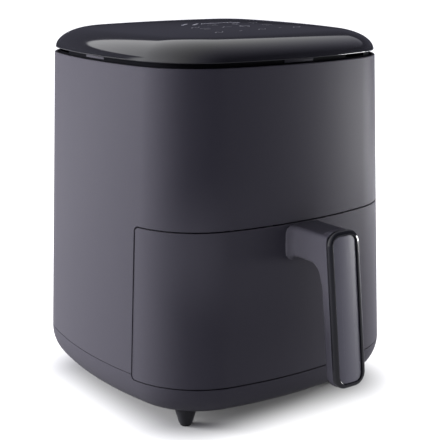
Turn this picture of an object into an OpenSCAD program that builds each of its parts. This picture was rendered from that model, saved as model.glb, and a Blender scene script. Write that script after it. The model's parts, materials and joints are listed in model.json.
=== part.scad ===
// Basket air fryer: a bowed body with round corners, a glossy domed touch top, a pull-out drawer with a
// grip handle, and four tapered feet. Inside are the drawer bay, the cooking chamber, the heater, the two
// fans on one shaft, the motor and the boards.
// Millimetres, +Z up, front towards -Y. The origin is on the bench, under the middle of the outline.

/* [Body outline] */
// Half width of the body at the seam over the base
base_half_w = 133; // [130:0.5:136]
// Half depth of the body at the seam over the base
base_half_d = 134; // [131:0.5:137]
// Radius of the bowed sides at the base seam
side_r = 363; // [345:1:400]
// Radius of the bowed front and back at the base seam
front_r = 333; // [320:1:370]
// Radius of the four upright corners at the base seam
corner_r = 71; // [68:1:76]
// How far every outer wall leans in for each millimetre of height
draft = 0.043; // [0.035:0.001:0.045]
// Thickness of the moulded walls
wall = 2.6; // [2.2:0.1:3]

/* [Heights] */
// Underside of the base tray above the bench
base_bottom = 16.6; // [14:0.1:18]
// Seam between base tray and body shell
base_seam = 46.5; // [44:0.5:49]
// Top rim of the body shell
rim_z = 297; // [296:0.5:300]
// Gap between the rim and the top cover, where the black neck shows
neck_gap = 3.7; // [3:0.1:5]

/* [Drawer front] */
// Seam below the drawer front
drawer_low = 42.4; // [41:0.1:43]
// Seam above the drawer front
drawer_high = 170.8; // [168:0.1:172]
// Distance of the upright side seams in front of the body's middle
side_seam = 64.1; // [62:0.1:66]
// Width of the drawer's seams
seam_w = 1.0; // [0.8:0.1:1.4]
// Corner radius of the drawer front at the side seams
seam_r = 4; // [3:0.5:6]

/* [Handle] */
// Width of the grip
grip_w = 32; // [28:0.5:34]
// Length of the grip's glossy frame
grip_len = 126.4; // [120:0.2:128]
// Depth of the grip, frame included
grip_t = 14; // [12:0.5:16]
// Distance of the grip's front face in front of the body's middle, half way up
grip_reach = 183.7; // [180:0.1:186]
// Height of the grip's middle above the bench
grip_mid = 109.9; // [108:0.1:112]
// Lean of the grip, bottom forward, in degrees
grip_lean = 6.4; // [5:0.1:7]

/* [Pan] */
// Half width of the pan's wall
pan_half_w = 100; // [98:0.5:100]
// Half depth of the pan's wall
pan_half_d = 97; // [95:0.5:97]
// Corner radius of the pan seen from above
pan_r = 40; // [36:1:44]
// Thickness of the pan's sheet
pan_sheet = 1.2; // [1:0.1:1.4]
// Height of the crisper grid's plate above the bench
grid_z = 62; // [60:0.5:66]

/* [Fan and motor] */
// Radius of the hot-air fan
hot_fan_r = 58; // [50:1:64]
// Radius of the motor shaft
shaft_r = 4; // [3.5:0.1:4.2]

/* [Cord gland] */
// Radius of the bore that the mains cord passes through
cord_bore_r = 4; // [3.5:0.1:4.5]
// Height of the cord gland above the bench
gland_z = 62; // [58:1:80]

/* [Hidden] */
$fn = 48;
eps = 0.01;
body_grey = [0.30, 0.29, 0.33];
gloss_black = [0.07, 0.07, 0.08];
dull_black = [0.12, 0.12, 0.13];
steel = [0.72, 0.72, 0.74];
dark_steel = [0.28, 0.28, 0.30];

// The outline seen from above: four bowed arcs and four corner arcs, each tangent to the next.
// Every arc keeps its centre at every height, and only the radii change with the draft.
side_c = side_r - base_half_w;
front_c = front_r - base_half_d;
arm_side = side_r - corner_r;
arm_front = front_r - corner_r;
k_ratio = side_c / front_c;
k_shift = (arm_side * arm_side - side_c * side_c - arm_front * arm_front + front_c * front_c)
    / (2 * front_c);
quad_a = 1 + k_ratio * k_ratio;
quad_b = 2 * side_c - 2 * k_ratio * k_shift;
quad_c = k_shift * k_shift + side_c * side_c - arm_side * arm_side;
corner_x = (-quad_b + sqrt(quad_b * quad_b - 4 * quad_a * quad_c)) / (2 * quad_a);
corner_y = k_ratio * corner_x - k_shift;
turn_side = atan2(corner_y, corner_x + side_c);
turn_front = atan2(corner_y + front_c, corner_x);
bow_steps = 8;
corner_steps = 12;
// Each arc: centre x, centre y, radius, first angle, last angle, steps
arcs = [[-side_c, 0, side_r, -turn_side, turn_side, bow_steps],
    [corner_x, corner_y, corner_r, turn_side, turn_front, corner_steps],
    [0, -front_c, front_r, turn_front, 180 - turn_front, bow_steps],
    [-corner_x, corner_y, corner_r, 180 - turn_front, 180 - turn_side, corner_steps],
    [side_c, 0, side_r, 180 - turn_side, 180 + turn_side, bow_steps],
    [-corner_x, -corner_y, corner_r, 180 + turn_side, 180 + turn_front, corner_steps],
    [0, front_c, front_r, 180 + turn_front, 360 - turn_front, bow_steps],
    [corner_x, -corner_y, corner_r, 360 - turn_front, 360 - turn_side, corner_steps]];
function outline(grow) = [for (a = arcs) for (i = [0 : a[5] - 1])
    let (t = a[3] + (a[4] - a[3]) * i / a[5]) [a[0] + (a[2] + grow) * cos(t), a[1] + (a[2] + grow) * sin(t)]];
function lean(z) = (base_seam - z) * draft;
function ring(z, inset) = [for (p = outline(lean(z) - inset)) [p[0], p[1], z]];
function level(z, grow) = [for (p = outline(grow)) [p[0], p[1], z]];
// Half width of the body's side and half depth of its front at a height, in from the outside by inset
function side_x(y, z, inset) = sqrt(pow(side_r + lean(z) - inset, 2) - y * y) - side_c;
function front_y(x, z, inset) = sqrt(pow(front_r + lean(z) - inset, 2) - x * x) - front_c;

// A rounded rectangle as points, and as an exact 2D shape
function tray_ring(z, inset) = [for (q = [[1, 1, 0], [-1, 1, 90], [-1, -1, 180], [1, -1, 270]]) for (i = [0 : 9])
    let (t = q[2] + 10 * i, r = pan_r - inset)
    [q[0] * (pan_half_w - pan_r) + r * cos(t), pan_y + q[1] * (pan_half_d - pan_r) + r * sin(t), z]];
module rounded(w, h, r) {
    square([w - 2 * r, h], center = true);
    square([w, h - 2 * r], center = true);
    for (x = [-1, 1], y = [-1, 1]) translate([x * (w / 2 - r), y * (h / 2 - r)]) circle(r);
}

// A solid through a list of rings, closed by a flat cap at each end
module loft(rings) {
    n = len(rings[0]);
    m = len(rings);
    sides = [for (k = [0 : m - 2]) for (i = [0 : n - 1])
        [k * n + i, (k + 1) * n + i, (k + 1) * n + (i + 1) % n, k * n + (i + 1) % n]];
    low_cap = [for (i = [0 : n - 1]) i];
    high_cap = [for (i = [n - 1 : -1 : 0]) (m - 1) * n + i];
    polyhedron([for (r = rings) for (p = r) p], concat(sides, [low_cap], [high_cap]));
}
// A ring-shaped solid through a list of rings, where the last ring joins the first
module band(rings) {
    n = len(rings[0]);
    m = len(rings);
    polyhedron([for (r = rings) for (p = r) p], [for (k = [0 : m - 1]) for (i = [0 : n - 1])
        [k * n + i, ((k + 1) % m) * n + i, ((k + 1) % m) * n + (i + 1) % n, k * n + (i + 1) % n]]);
}

// Places in the model, measured from the body's middle
grip_half = grip_len / 2;
frame_lip = 4.1;
front_reach = grip_reach + (grip_half - frame_lip + 0.5) * sin(grip_lean);
gland_face = base_half_d - 0.15;
gland_flange_t = 3;
rear_reach = gland_face + gland_flange_t;
body_y = (front_reach - rear_reach) / 2;
pan_y = -3;
pan_bottom = 46;
pan_rim = 168.5;
deck_top = drawer_low - seam_w / 2;
bay_top = drawer_high + seam_w / 2;
bulkhead_y = side_seam - 1.2;
rail_top = 165.6;
bay_half_w = pan_half_w + 7.5;
shield_top = 232;
motor_base = 238;
fan_z = 205;
foot_x = 88.5;
foot_y = 85.5;
boss_x = 68;
boss_y = 68;
ceiling_screw_x = 113.5;
ceiling_screw_y = 38;
lip_z = rim_z + neck_gap;
ceiling_t = 2;
module shift() {
    translate([0, body_y, 0]) children();
}
// Runs a shape drawn in Y and Z along X
module along_x(length) {
    rotate([90, 0, 90]) linear_extrude(length, center = true) children();
}
// The space of the drawer front, grown by g: it cuts the opening and trims the front
module drawer_space(g) {
    low = drawer_low - g;
    high = drawer_high + g;
    back = -side_seam + g;
    r = seam_r + g;
    along_x(400) {
        translate([-320, low]) square([320 + back - r, high - low]);
        translate([back - 2 * r, low + r]) square([2 * r, high - low - 2 * r]);
        translate([back - r, low + r]) circle(r);
        translate([back - r, high - r]) circle(r);
    }
}
module at_corners(x, y) {
    for (i = [-1, 1], j = [-1, 1]) translate([i * x, j * y, 0]) children();
}
module pan_prism(z, h, grow) {
    translate([0, pan_y, z])
        linear_extrude(h) rounded(2 * (pan_half_w + grow), 2 * (pan_half_d + grow), pan_r + grow);
}
// A machine screw with a pan head, standing head up at z = 0
module screw(r, length) {
    head_r = 1.9 * r;
    cylinder(h = 1.1 * r, r = head_r, $fn = 24);
    translate([0, 0, -length]) cylinder(h = length + eps, r = r, $fn = 24);
}

// ---- Base ----
curve_top = 44;
curve_in = 21.5;
curve_steps = 6;
vent_slot_x = 112;
vent_slot_y = -36;
vent_pitch = 11.7;
module base_tray() {
    outer = [for (i = [curve_steps : -1 : 0]) let (t = 90 * i / curve_steps)
        level(curve_top - (curve_top - base_bottom) * sin(t), lean(curve_top) - curve_in * (1 - cos(t)))];
    floor_z = base_bottom + wall;
    inner = [for (i = [0 : curve_steps]) let (t = 90 * i / curve_steps)
        level(curve_top - (curve_top - floor_z) * sin(t),
            lean(curve_top) - wall - (curve_in - wall) * (1 - cos(t)))];
    color(body_grey) shift() difference() {
        union() {
            loft(concat(outer, [ring(base_seam, 0)], [ring(base_seam, wall)], inner));
            at_corners(foot_x, foot_y) translate([0, 0, base_bottom + 1]) cylinder(h = 12, r = 7);
        }
        drawer_space(seam_w / 2);
        at_corners(foot_x, foot_y) translate([0, 0, base_bottom - 1]) cylinder(h = 10, r = 4.05);
        at_corners(foot_x, foot_y) translate([0, 0, base_bottom + 5]) cylinder(h = 12, r = 1.55, $fn = 24);
        for (s = [-1, 1], i = [0 : 5]) translate([s * vent_slot_x, vent_slot_y + vent_pitch * i, base_bottom])
            cube([23, 4, 7.2], center = true);
    }
}
module base_deck() {
    t = 2;
    color(dull_black) shift() difference() {
        translate([0, 0, deck_top - t]) linear_extrude(t) polygon(outline(lean(curve_top) - wall - 0.8));
        for (x = [-90, 90], y = [-40, 60])
            translate([x, y, deck_top - t - 1]) cylinder(h = t + 2, r = 2.1, $fn = 24);
    }
}
module feet() {
    stem_low = 1.8;
    color(dull_black) shift() at_corners(foot_x, foot_y) difference() {
        union() {
            translate([0, 0, stem_low]) cylinder(h = base_bottom - stem_low, r1 = 5.6, r2 = 10);
            translate([0, 0, base_bottom - eps]) cylinder(h = 4.5, r = 4);
        }
        translate([0, 0, stem_low - eps]) cylinder(h = 3.4, r = 3.1);
        translate([0, 0, stem_low]) cylinder(h = 20, r = 1.6, $fn = 24);
    }
}
module foot_pads() {
    color(gloss_black) shift() at_corners(foot_x, foot_y) {
        cylinder(h = 1.8, r = 4.8);
        cylinder(h = 4.6, r = 3.05);
    }
}
module base_screws() {
    color(steel) shift() {
        at_corners(foot_x, foot_y) translate([0, 0, base_bottom + 13]) screw(1.5, 12);
        for (x = [-90, 90], y = [-40, 60]) translate([x, y, deck_top]) screw(2, 8);
    }
}

// ---- Body shell, neck and top ----
vent_z = 206;
vent_w = 92;
vent_h = 44;
module at_vent() {
    translate([0, front_y(0, vent_z, 0), vent_z]) rotate([atan(draft), 0, 0]) children();
}
module body_shell() {
    color(body_grey) shift() difference() {
        band([ring(base_seam, 0), ring(rim_z, 0), ring(rim_z, wall), ring(base_seam, wall)]);
        drawer_space(seam_w / 2);
        at_vent() cube([vent_w - 7.6, 30, vent_h - 7.6], center = true);
        translate([0, gland_face - 12, gland_z]) rotate([-90, 0, 0]) cylinder(h = 30, r = 7.1);
    }
}
neck_low = 290;
neck_floor = 2.2;
neck_in = 5.2;
module neck_ring() {
    neck_top = lip_z + 1.8;
    window = [26, 40, 2.4];
    color(dull_black) shift() difference() {
        loft([ring(neck_low, wall + 0.1), ring(rim_z - 0.8, wall + 0.1), ring(rim_z - 0.8, neck_in),
            level(neck_top, lean(rim_z) - neck_in), level(neck_top, lean(rim_z) - neck_in - 2),
            level(neck_low + neck_floor, lean(rim_z) - neck_in - 2)]);
        for (s = [-1, 1]) {
            translate([66 * s, -110 * s, rim_z + 1.9]) cube(window, center = true);
            translate([110 * s, -66 * s, rim_z + 1.9]) cube([window[1], window[0], window[2]], center = true);
        }
        for (a = [0 : 45 : 315]) rotate([0, 0, a]) translate([34, 0, neck_low + 1])
            cube([30, 10, 8], center = true);
        at_corners(boss_x, boss_y) translate([0, 0, neck_low - 1]) cylinder(h = 5, r = 2.1, $fn = 24);
    }
}
edge_in = 38.4;
edge_rise = 17.8;
crown_turn = 78;
crown_rise = 4.4;
lip_in = 1;
module top_cover() {
    rim = lean(rim_z);
    thick = 3;
    inner = [for (i = [4 : -1 : 0]) let (t = 90 * i / 4)
        level(lip_z + (edge_rise - thick) * sin(t), rim - lip_in - thick - (edge_in - thick) * (1 - cos(t)))];
    outer = [for (i = [0 : 6]) let (t = crown_turn * i / 6)
        level(lip_z + edge_rise * sin(t), rim - lip_in - edge_in * (1 - cos(t)))];
    shoulder_z = lip_z + edge_rise * sin(crown_turn);
    crown = [for (s = [0.8, 0.55, 0.25]) [for (p = outer[6])
        [s * p[0], s * p[1], shoulder_z + crown_rise * (1 - s * s)]]];
    boss_low = neck_low + neck_floor;
    color(gloss_black) shift() difference() {
        union() {
            loft(concat(inner, outer, crown));
            at_corners(boss_x, boss_y) translate([0, 0, boss_low])
                cylinder(h = lip_z + edge_rise - thick + 1 - boss_low, r = 4.5);
        }
        at_corners(boss_x, boss_y) translate([0, 0, boss_low - 1]) cylinder(h = 14, r = 1.55, $fn = 24);
    }
}
module cover_screws() {
    color(steel) shift() at_corners(boss_x, boss_y)
        translate([0, 0, neck_low]) rotate([180, 0, 0]) screw(1.5, 12);
}
board_z = 309;
module control_board() {
    color("darkgreen") shift() difference() {
        translate([0, 4, board_z]) linear_extrude(1.6) rounded(120, 96, 6);
        at_corners(boss_x, boss_y) translate([0, 0, board_z - 1]) cylinder(h = 4, r = 6);
    }
}
module display_module() {
    color(dull_black) shift() translate([0, 14, board_z + 1.6]) {
        translate([-26, -9, 0]) cube([52, 18, 4.2]);
        for (i = [-3 : 3]) translate([16 * i, -26, 0]) cylinder(h = 3.4, r = 5);
    }
}

// ---- Drawer bay and cooking chamber ----
module bay_bulkhead() {
    t = 2.5;
    y = bulkhead_y - t / 2;
    x_low = side_x(y, base_seam, wall + 0.3);
    x_high = side_x(y, bay_top, wall + 0.3);
    color(dull_black) shift() difference() {
        translate([0, -bulkhead_y + t, 0]) rotate([90, 0, 0]) linear_extrude(t) difference() {
            polygon([[-x_low, deck_top], [x_low, deck_top], [x_low, base_seam], [x_high, bay_top],
                [-x_high, bay_top], [-x_low, base_seam]]);
            translate([-bay_half_w + 1, deck_top + 2]) square([2 * bay_half_w - 2, 200]);
        }
        translate([switch_x, -bulkhead_y - 1, switch_z]) rotate([-90, 0, 0]) cylinder(h = 6, r = plunger_r + 0.08);
        for (x = [-114.5, 114.5], z = [62, 110]) translate([x, -bulkhead_y - 1, z])
            rotate([-90, 0, 0]) cylinder(h = 6, r = 1.6, $fn = 24);
    }
}
module drawer_bay() {
    t = 2;
    front = -bulkhead_y + 2.5;
    h = bay_top - deck_top;
    gap = bay_half_w - pan_half_w;
    color(dull_black) shift() difference() {
        union() {
            difference() {
                pan_prism(deck_top, h, gap + t);
                pan_prism(deck_top - 1, h + 2, gap);
            }
            difference() {
                pan_prism(rail_top - 4, 4, gap + 1);
                pan_prism(rail_top - 5, 6, 1.7);
            }
        }
        translate([-200, front - 200, deck_top - 1]) cube([400, 200, h + 2]);
        for (x = [-50 : 20 : 50]) translate([x - 2, pan_half_d, 60]) cube([4, 20, 60]);
    }
}
module bay_ceiling() {
    color(dark_steel) shift() difference() {
        translate([0, 0, bay_top]) linear_extrude(ceiling_t)
            polygon(outline(lean(bay_top + ceiling_t) - wall - 0.2));
        pan_prism(bay_top - 1, ceiling_t + 2, 2.8);
        at_corners(ceiling_screw_x, ceiling_screw_y) translate([0, 0, bay_top - 1])
            cylinder(h = 5, r = 2.1, $fn = 24);
    }
}
module bay_screws() {
    color(steel) shift() {
        at_corners(ceiling_screw_x, ceiling_screw_y) translate([0, 0, bay_top + ceiling_t]) screw(1.9, 1.9);
        for (x = [-114.5, 114.5], z = [62, 110]) translate([x, -bulkhead_y, z])
            rotate([90, 0, 0]) screw(1.5, 8);
    }
}
liner_t = 1;
liner_top = 224;
module chamber_liner() {
    color(steel) shift() difference() {
        union() {
            pan_prism(bay_top, liner_top - bay_top, 2.4);
            pan_prism(bay_top + ceiling_t, liner_t, 7);
        }
        pan_prism(bay_top - 1, liner_top - bay_top + 1 - liner_t, 2.4 - liner_t);
        translate([0, 0, liner_top - 3]) cylinder(h = 6, r = 8);
        translate([-40, 60, 194]) cube([80, 60, 22]);
        translate([70, 20, liner_top - 3]) cylinder(h = 6, r = 3.2);
        at_legs() translate([0, 0, liner_top - 3]) cylinder(h = 6, r = 5);
    }
}
module heat_shield() {
    t = 0.9;
    color(dark_steel) shift() difference() {
        pan_prism(bay_top + ceiling_t + liner_t, shield_top - bay_top - ceiling_t - liner_t, 6.5);
        pan_prism(bay_top, shield_top - bay_top - t, 6.5 - t);
        translate([0, 0, shield_top - 3]) cylinder(h = 6, r = 9);
        translate([-41.5, 60, 192.5]) cube([83, 60, 25]);
        translate([70, 20, shield_top - 3]) cylinder(h = 6, r = 3.2);
        at_legs() translate([0, 0, shield_top - 3]) cylinder(h = 6, r = 5);
    }
}
// The element is two concentric turns joined at one side. Its two legs go up through the chamber's top,
// outside the fan.
tube_r = 3.25;
collar_r = 4.2;
coil_z = 192;
outer_turn = 78;
inner_turn = 54;
inner_leg = 68;
leg_x = 12;
function leg_y(r) = sqrt(r * r - leg_x * leg_x);
module at_legs() {
    for (r = [inner_leg, outer_turn]) translate([leg_x, leg_y(r), 0]) children();
}
module coil_turn(r) {
    open = asin(leg_x / r);
    rotate([0, 0, 90 + open]) rotate_extrude(angle = 360 - 2 * open) translate([r, 0]) circle(tube_r);
}
module cross_tube(x, r_from, r_to) {
    translate([x, leg_y(r_from), 0]) rotate([-90, 0, 0]) cylinder(h = leg_y(r_to) - leg_y(r_from), r = tube_r);
}
module heating_element() {
    color(dark_steel) shift() translate([0, 0, coil_z]) {
        for (r = [inner_turn, outer_turn]) {
            coil_turn(r);
            for (s = [-1, 1]) translate([s * leg_x, leg_y(r), -collar_r]) cylinder(h = 2 * collar_r, r = collar_r);
        }
        at_legs() translate([0, 0, -collar_r]) cylinder(h = 50, r = collar_r);
        cross_tube(-leg_x, inner_turn, outer_turn);
        cross_tube(leg_x, inner_turn, inner_leg);
    }
}
module element_clips() {
    color(steel) shift() for (a = [30, 150, 210, 330]) rotate([0, 0, a]) {
        translate([46, -4, coil_z + tube_r + 0.2]) cube([40, 8, 1.5]);
        translate([64, -4, coil_z + tube_r + 1.7]) cube([4, 8, liner_top - liner_t - coil_z - tube_r - 1.7]);
    }
}
guard_z = 181;
guard_reach = pan_half_w + 1.2;
module heater_guard() {
    strip = 2.4;
    color(steel) shift() translate([0, 0, guard_z]) {
        for (r = [16, 34, 52, 70, 88])
            rotate_extrude() translate([r - strip / 2, 0]) square([strip, strip]);
        for (a = [45, 90, 135]) rotate([0, 0, a]) translate([-92, -strip / 2, -1.4])
            cube([184, strip, strip]);
        translate([-guard_reach, -strip / 2, -1.4]) cube([2 * guard_reach, strip, strip]);
    }
}
module temperature_probe() {
    color(steel) shift() translate([70, 20, 0]) {
        translate([0, 0, 200]) cylinder(h = 38, r = 2.4);
        translate([0, 0, 200]) sphere(2.4);
        translate([0, 0, shield_top]) cylinder(h = 3, r = 6, $fn = 6);
    }
}
module thermal_cutout() {
    color(dull_black) shift() translate([78, -30, shield_top]) {
        cylinder(h = 1.2, r = 8);
        cylinder(h = 8, r = 6.5);
        for (s = [-1, 1]) translate([3 * s - 0.4, -2, 8 - eps]) cube([0.8, 4, 7]);
    }
}
duct_y = pan_y + pan_half_d + 2.4;
module exhaust_duct() {
    back = front_y(43, vent_z + 12, wall) - 1.5;
    color(dark_steel) shift() difference() {
        translate([-41, duct_y, 193]) cube([82, back - duct_y, 24]);
        translate([-40, duct_y - 1, 194]) cube([80, 60, 22]);
    }
}
module exhaust_grille() {
    r = front_r + lean(vent_z);
    proud = 1.2;
    color(dull_black) shift() at_vent() translate([0, -r, 0]) difference() {
        union() {
            intersection() {
                translate([0, 0, -vent_h / 2]) difference() {
                    cylinder(h = vent_h, r = r + proud, $fn = 360);
                    translate([0, 0, -1]) cylinder(h = vent_h + 2, r = r + 0.05, $fn = 360);
                }
                translate([-vent_w / 2, r - 30, -vent_h / 2]) cube([vent_w, 60, vent_h]);
            }
            intersection() {
                translate([0, 0, -vent_h / 2]) difference() {
                    cylinder(h = vent_h, r = r + proud, $fn = 360);
                    translate([0, 0, -1]) cylinder(h = vent_h + 2, r = r - 2, $fn = 360);
                }
                translate([4 - vent_w / 2, r - 30, 4 - vent_h / 2]) cube([vent_w - 8, 60, vent_h - 8]);
            }
        }
        for (i = [-3 : 3]) translate([5.5 - vent_w / 2, r - 40, 4.8 * i - 1.4]) cube([vent_w - 11, 80, 2.8]);
    }
}
module cord_gland() {
    back_nut = 3.5;
    color(dull_black) shift() translate([0, gland_face, gland_z]) rotate([-90, 0, 0]) difference() {
        union() {
            cylinder(h = gland_flange_t, r1 = 10, r2 = 8.6);
            translate([0, 0, -13]) cylinder(h = 13 + eps, r = 7);
            translate([0, 0, -wall - 1 - back_nut]) cylinder(h = back_nut, r = 10, $fn = 6);
        }
        translate([0, 0, -14]) cylinder(h = 14 + gland_flange_t + 1, r = cord_bore_r);
    }
}
switch_x = 115;
switch_z = 152;
plunger_r = 2;
module door_switch() {
    y = -bulkhead_y + 2.5;
    color(dull_black) shift() difference() {
        translate([switch_x - 5, y, switch_z - 14]) cube([9, 13, 22]);
        translate([switch_x, y - 1, switch_z]) rotate([-90, 0, 0]) cylinder(h = 11, r = plunger_r + 0.08);
    }
}
module switch_plunger() {
    color("firebrick") shift() translate([switch_x, -bulkhead_y - 0.8, switch_z]) rotate([-90, 0, 0])
        cylinder(h = 8, r = plunger_r);
}

// ---- Motor, fans and boards ----
module motor_bracket() {
    t = 1.5;
    color(steel) shift() difference() {
        union() {
            translate([0, 0, motor_base]) linear_extrude(t) rounded(110, 96, 8);
            at_corners(48, 41) translate([0, 0, shield_top]) cylinder(h = motor_base - shield_top + eps, r = 4);
        }
        translate([0, 0, motor_base - 1]) cylinder(h = 4, r = 14);
        for (s = [-1, 1]) translate([s * 26, 0, motor_base - 1]) cylinder(h = 4, r = 2.1, $fn = 24);
        at_corners(48, 41) translate([0, 0, shield_top - 1]) cylinder(h = 10, r = 1.6, $fn = 24);
    }
}
stack_z = 247;
stack_h = 18;
rotor_r = 14.6;
module motor_stator() {
    color(dark_steel) shift() difference() {
        translate([-32, -24, stack_z]) cube([64, 66, stack_h]);
        translate([0, 0, stack_z - 1]) cylinder(h = stack_h + 2, r = rotor_r + 0.5);
        translate([-15, 20.5, stack_z - 1]) cube([30, 9.5, stack_h + 2]);
        for (s = [-1, 1]) translate([s * 26, 0, stack_z - 1]) cylinder(h = stack_h + 2, r = 2.1, $fn = 24);
    }
}
module motor_coil() {
    color("peru") shift() difference() {
        translate([-14.5, 20.8, stack_z - 6]) cube([29, 27, stack_h + 12]);
        translate([-16, 29.7, stack_z - 0.3]) cube([32, 12.6, stack_h + 0.6]);
    }
}
module bridge(z, h) {
    difference() {
        translate([-31, -8, z]) cube([62, 16, 1.6]);
        translate([0, 0, z - 1]) cylinder(h = 4, r = 6);
        for (s = [-1, 1]) translate([s * 26, 0, z - 1]) cylinder(h = 4, r = 2.1, $fn = 24);
    }
    for (s = [-1, 1]) difference() {
        translate([s * 26, 0, h > 0 ? z + 1.6 - eps : z + h]) cylinder(h = abs(h), r = 4);
        translate([s * 26, 0, z - 30]) cylinder(h = 60, r = 2.1, $fn = 24);
    }
}
module motor_bridges() {
    color(steel) shift() {
        bridge(motor_base + 1.5, stack_z - motor_base - 3.1);
        bridge(stack_z + stack_h + 5, -5);
    }
}
module motor_bushes() {
    color("goldenrod") shift() for (z = [motor_base + 1, stack_z + stack_h + 4]) difference() {
        translate([0, 0, z]) cylinder(h = 5, r = 5.9);
        translate([0, 0, z - 1]) cylinder(h = 7, r = shaft_r + 0.06);
    }
}
module motor_screws() {
    color(steel) shift() {
        for (s = [-1, 1]) translate([s * 26, 0, stack_z + stack_h + 6.6]) screw(2, 30);
        at_corners(48, 41) translate([0, 0, motor_base + 1.5]) screw(1.5, 7);
    }
}
module motor_shaft() {
    color(steel) shift() translate([0, 0, 196]) cylinder(h = 89, r = shaft_r);
}
module motor_rotor() {
    color(steel) shift() difference() {
        translate([0, 0, stack_z]) cylinder(h = stack_h, r = rotor_r);
        translate([0, 0, stack_z - 1]) cylinder(h = stack_h + 2, r = shaft_r);
    }
}
// A fan: a hub, a disc and upright radial blades
module fan(z, r, blades, blade_h, hub_h) {
    difference() {
        union() {
            translate([0, 0, z]) cylinder(h = 1.2, r = r);
            translate([0, 0, z]) cylinder(h = hub_h, r = 9);
        }
        translate([0, 0, z - 1]) cylinder(h = hub_h + 2, r = shaft_r);
    }
    for (i = [0 : blades - 1]) rotate([0, 0, 360 * i / blades])
        translate([0.42 * r, -0.6, z + 1.2 - eps]) cube([0.56 * r, 1.2, blade_h]);
}
module hot_fan() {
    color(steel) shift() fan(fan_z, hot_fan_r, 12, 10, 12);
}
module cooling_fan() {
    color(dull_black) shift() fan(275, 50, 10, 9, 8);
}
module fan_nut() {
    color("goldenrod") shift() difference() {
        translate([0, 0, fan_z - 6]) cylinder(h = 5.9, r = 7.5, $fn = 6);
        translate([0, 0, fan_z - 7]) cylinder(h = 8, r = shaft_r);
    }
}
power_x = -84;
power_z = 244;
module power_board() {
    color("darkgreen") shift() difference() {
        translate([power_x - 22, -50, power_z]) cube([44, 100, 1.6]);
        at_board() translate([0, 0, power_z - 1]) cylinder(h = 4, r = 1.6, $fn = 24);
    }
}
module at_board() {
    for (x = [-18, 18], y = [-46, 46]) translate([power_x + x, y, 0]) children();
}
module board_standoffs() {
    color(steel) shift() at_board() translate([0, 0, shield_top]) cylinder(h = power_z - shield_top, r = 2.6);
}
module board_components() {
    color("royalblue") shift() translate([power_x, 0, power_z + 1.6]) {
        translate([-16, -38, 0]) cube([26, 24, 19]);
        translate([-16, -6, 0]) cube([12, 28, 15]);
        translate([6, 6, 0]) cylinder(h = 20, r = 7);
        translate([8, 28, 0]) cylinder(h = 16, r = 5);
        translate([-14, 28, 0]) cube([14, 10, 10]);
    }
}

// ---- Drawer ----
module drawer_front() {
    low = drawer_low + seam_w / 2;
    high = drawer_high - seam_w / 2;
    color(body_grey) shift() difference() {
        intersection() {
            band([ring(low, 0), ring(high, 0), ring(high, wall), ring(low, wall)]);
            drawer_space(-seam_w / 2);
        }
        translate([-13, -160, tenon_low]) cube([26, 60, tenon_high - tenon_low]);
    }
}
tenon_low = 147;
tenon_high = 162.6;
panel_t = 2;
plate_z = 163.4;
// The panel's plates fill the space between the drawer front and the pan, at the top and bottom
module drawer_plate(z) {
    difference() {
        intersection() {
            translate([0, 0, z]) linear_extrude(panel_t) polygon(outline(lean(z + panel_t) - wall - 0.2));
            translate([-200, -300, z - 1]) cube([400, 300 - side_seam - seam_w / 2, panel_t + 2]);
        }
        pan_prism(z - 1, panel_t + 2, 0.4);
    }
}
module drawer_panel() {
    back = -side_seam - seam_w / 2 - 0.1;
    low_z = pan_bottom + 14;
    post = [3, 14, plate_z - low_z - panel_t + 2 * eps];
    color(dull_black) shift() difference() {
        union() {
            drawer_plate(plate_z);
            drawer_plate(low_z);
            for (s = [-1, 1]) translate([s * 111.4 - post[0] / 2, -84, low_z + panel_t - eps]) cube(post);
            translate([switch_x - 4.5, back - 8, switch_z - 6]) cube([6.7, 8, plate_z - switch_z + 6 + eps]);
        }
        at_front_screws() translate([0, 0, plate_z - 1]) cylinder(h = 4, r = 1.9, $fn = 24);
    }
}
module at_front_screws() {
    for (x = [-60, -25, 25, 60]) translate([x, -113, 0]) children();
}
module front_screws() {
    color(steel) shift() at_front_screws() translate([0, 0, plate_z + panel_t]) screw(1.8, 1.9);
}
module pan() {
    wall_top = [[pan_rim - 2.3, 0], [pan_rim - 2.3, -5.4], [pan_rim, -5.4], [pan_rim, pan_sheet]];
    low = [[0, 14], [1.6, 8.4], [5.6, 4.4], [12, 3]];
    outer = [for (p = low) tray_ring(pan_bottom + p[0], p[1])];
    rim = [for (p = wall_top) tray_ring(p[0], p[1])];
    inner = [for (i = [3 : -1 : 0]) tray_ring(pan_bottom + low[i][0] + (i < 3 ? pan_sheet : 0),
        low[i][1] + (i > 0 ? pan_sheet : 0))];
    color(dark_steel) shift() loft(concat(outer, rim, inner));
}
arm_top = 169.6;
arm_low = 144;
arm_bend = 13;
frame_t = 4;
limb_t = grip_t - frame_t;
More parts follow.
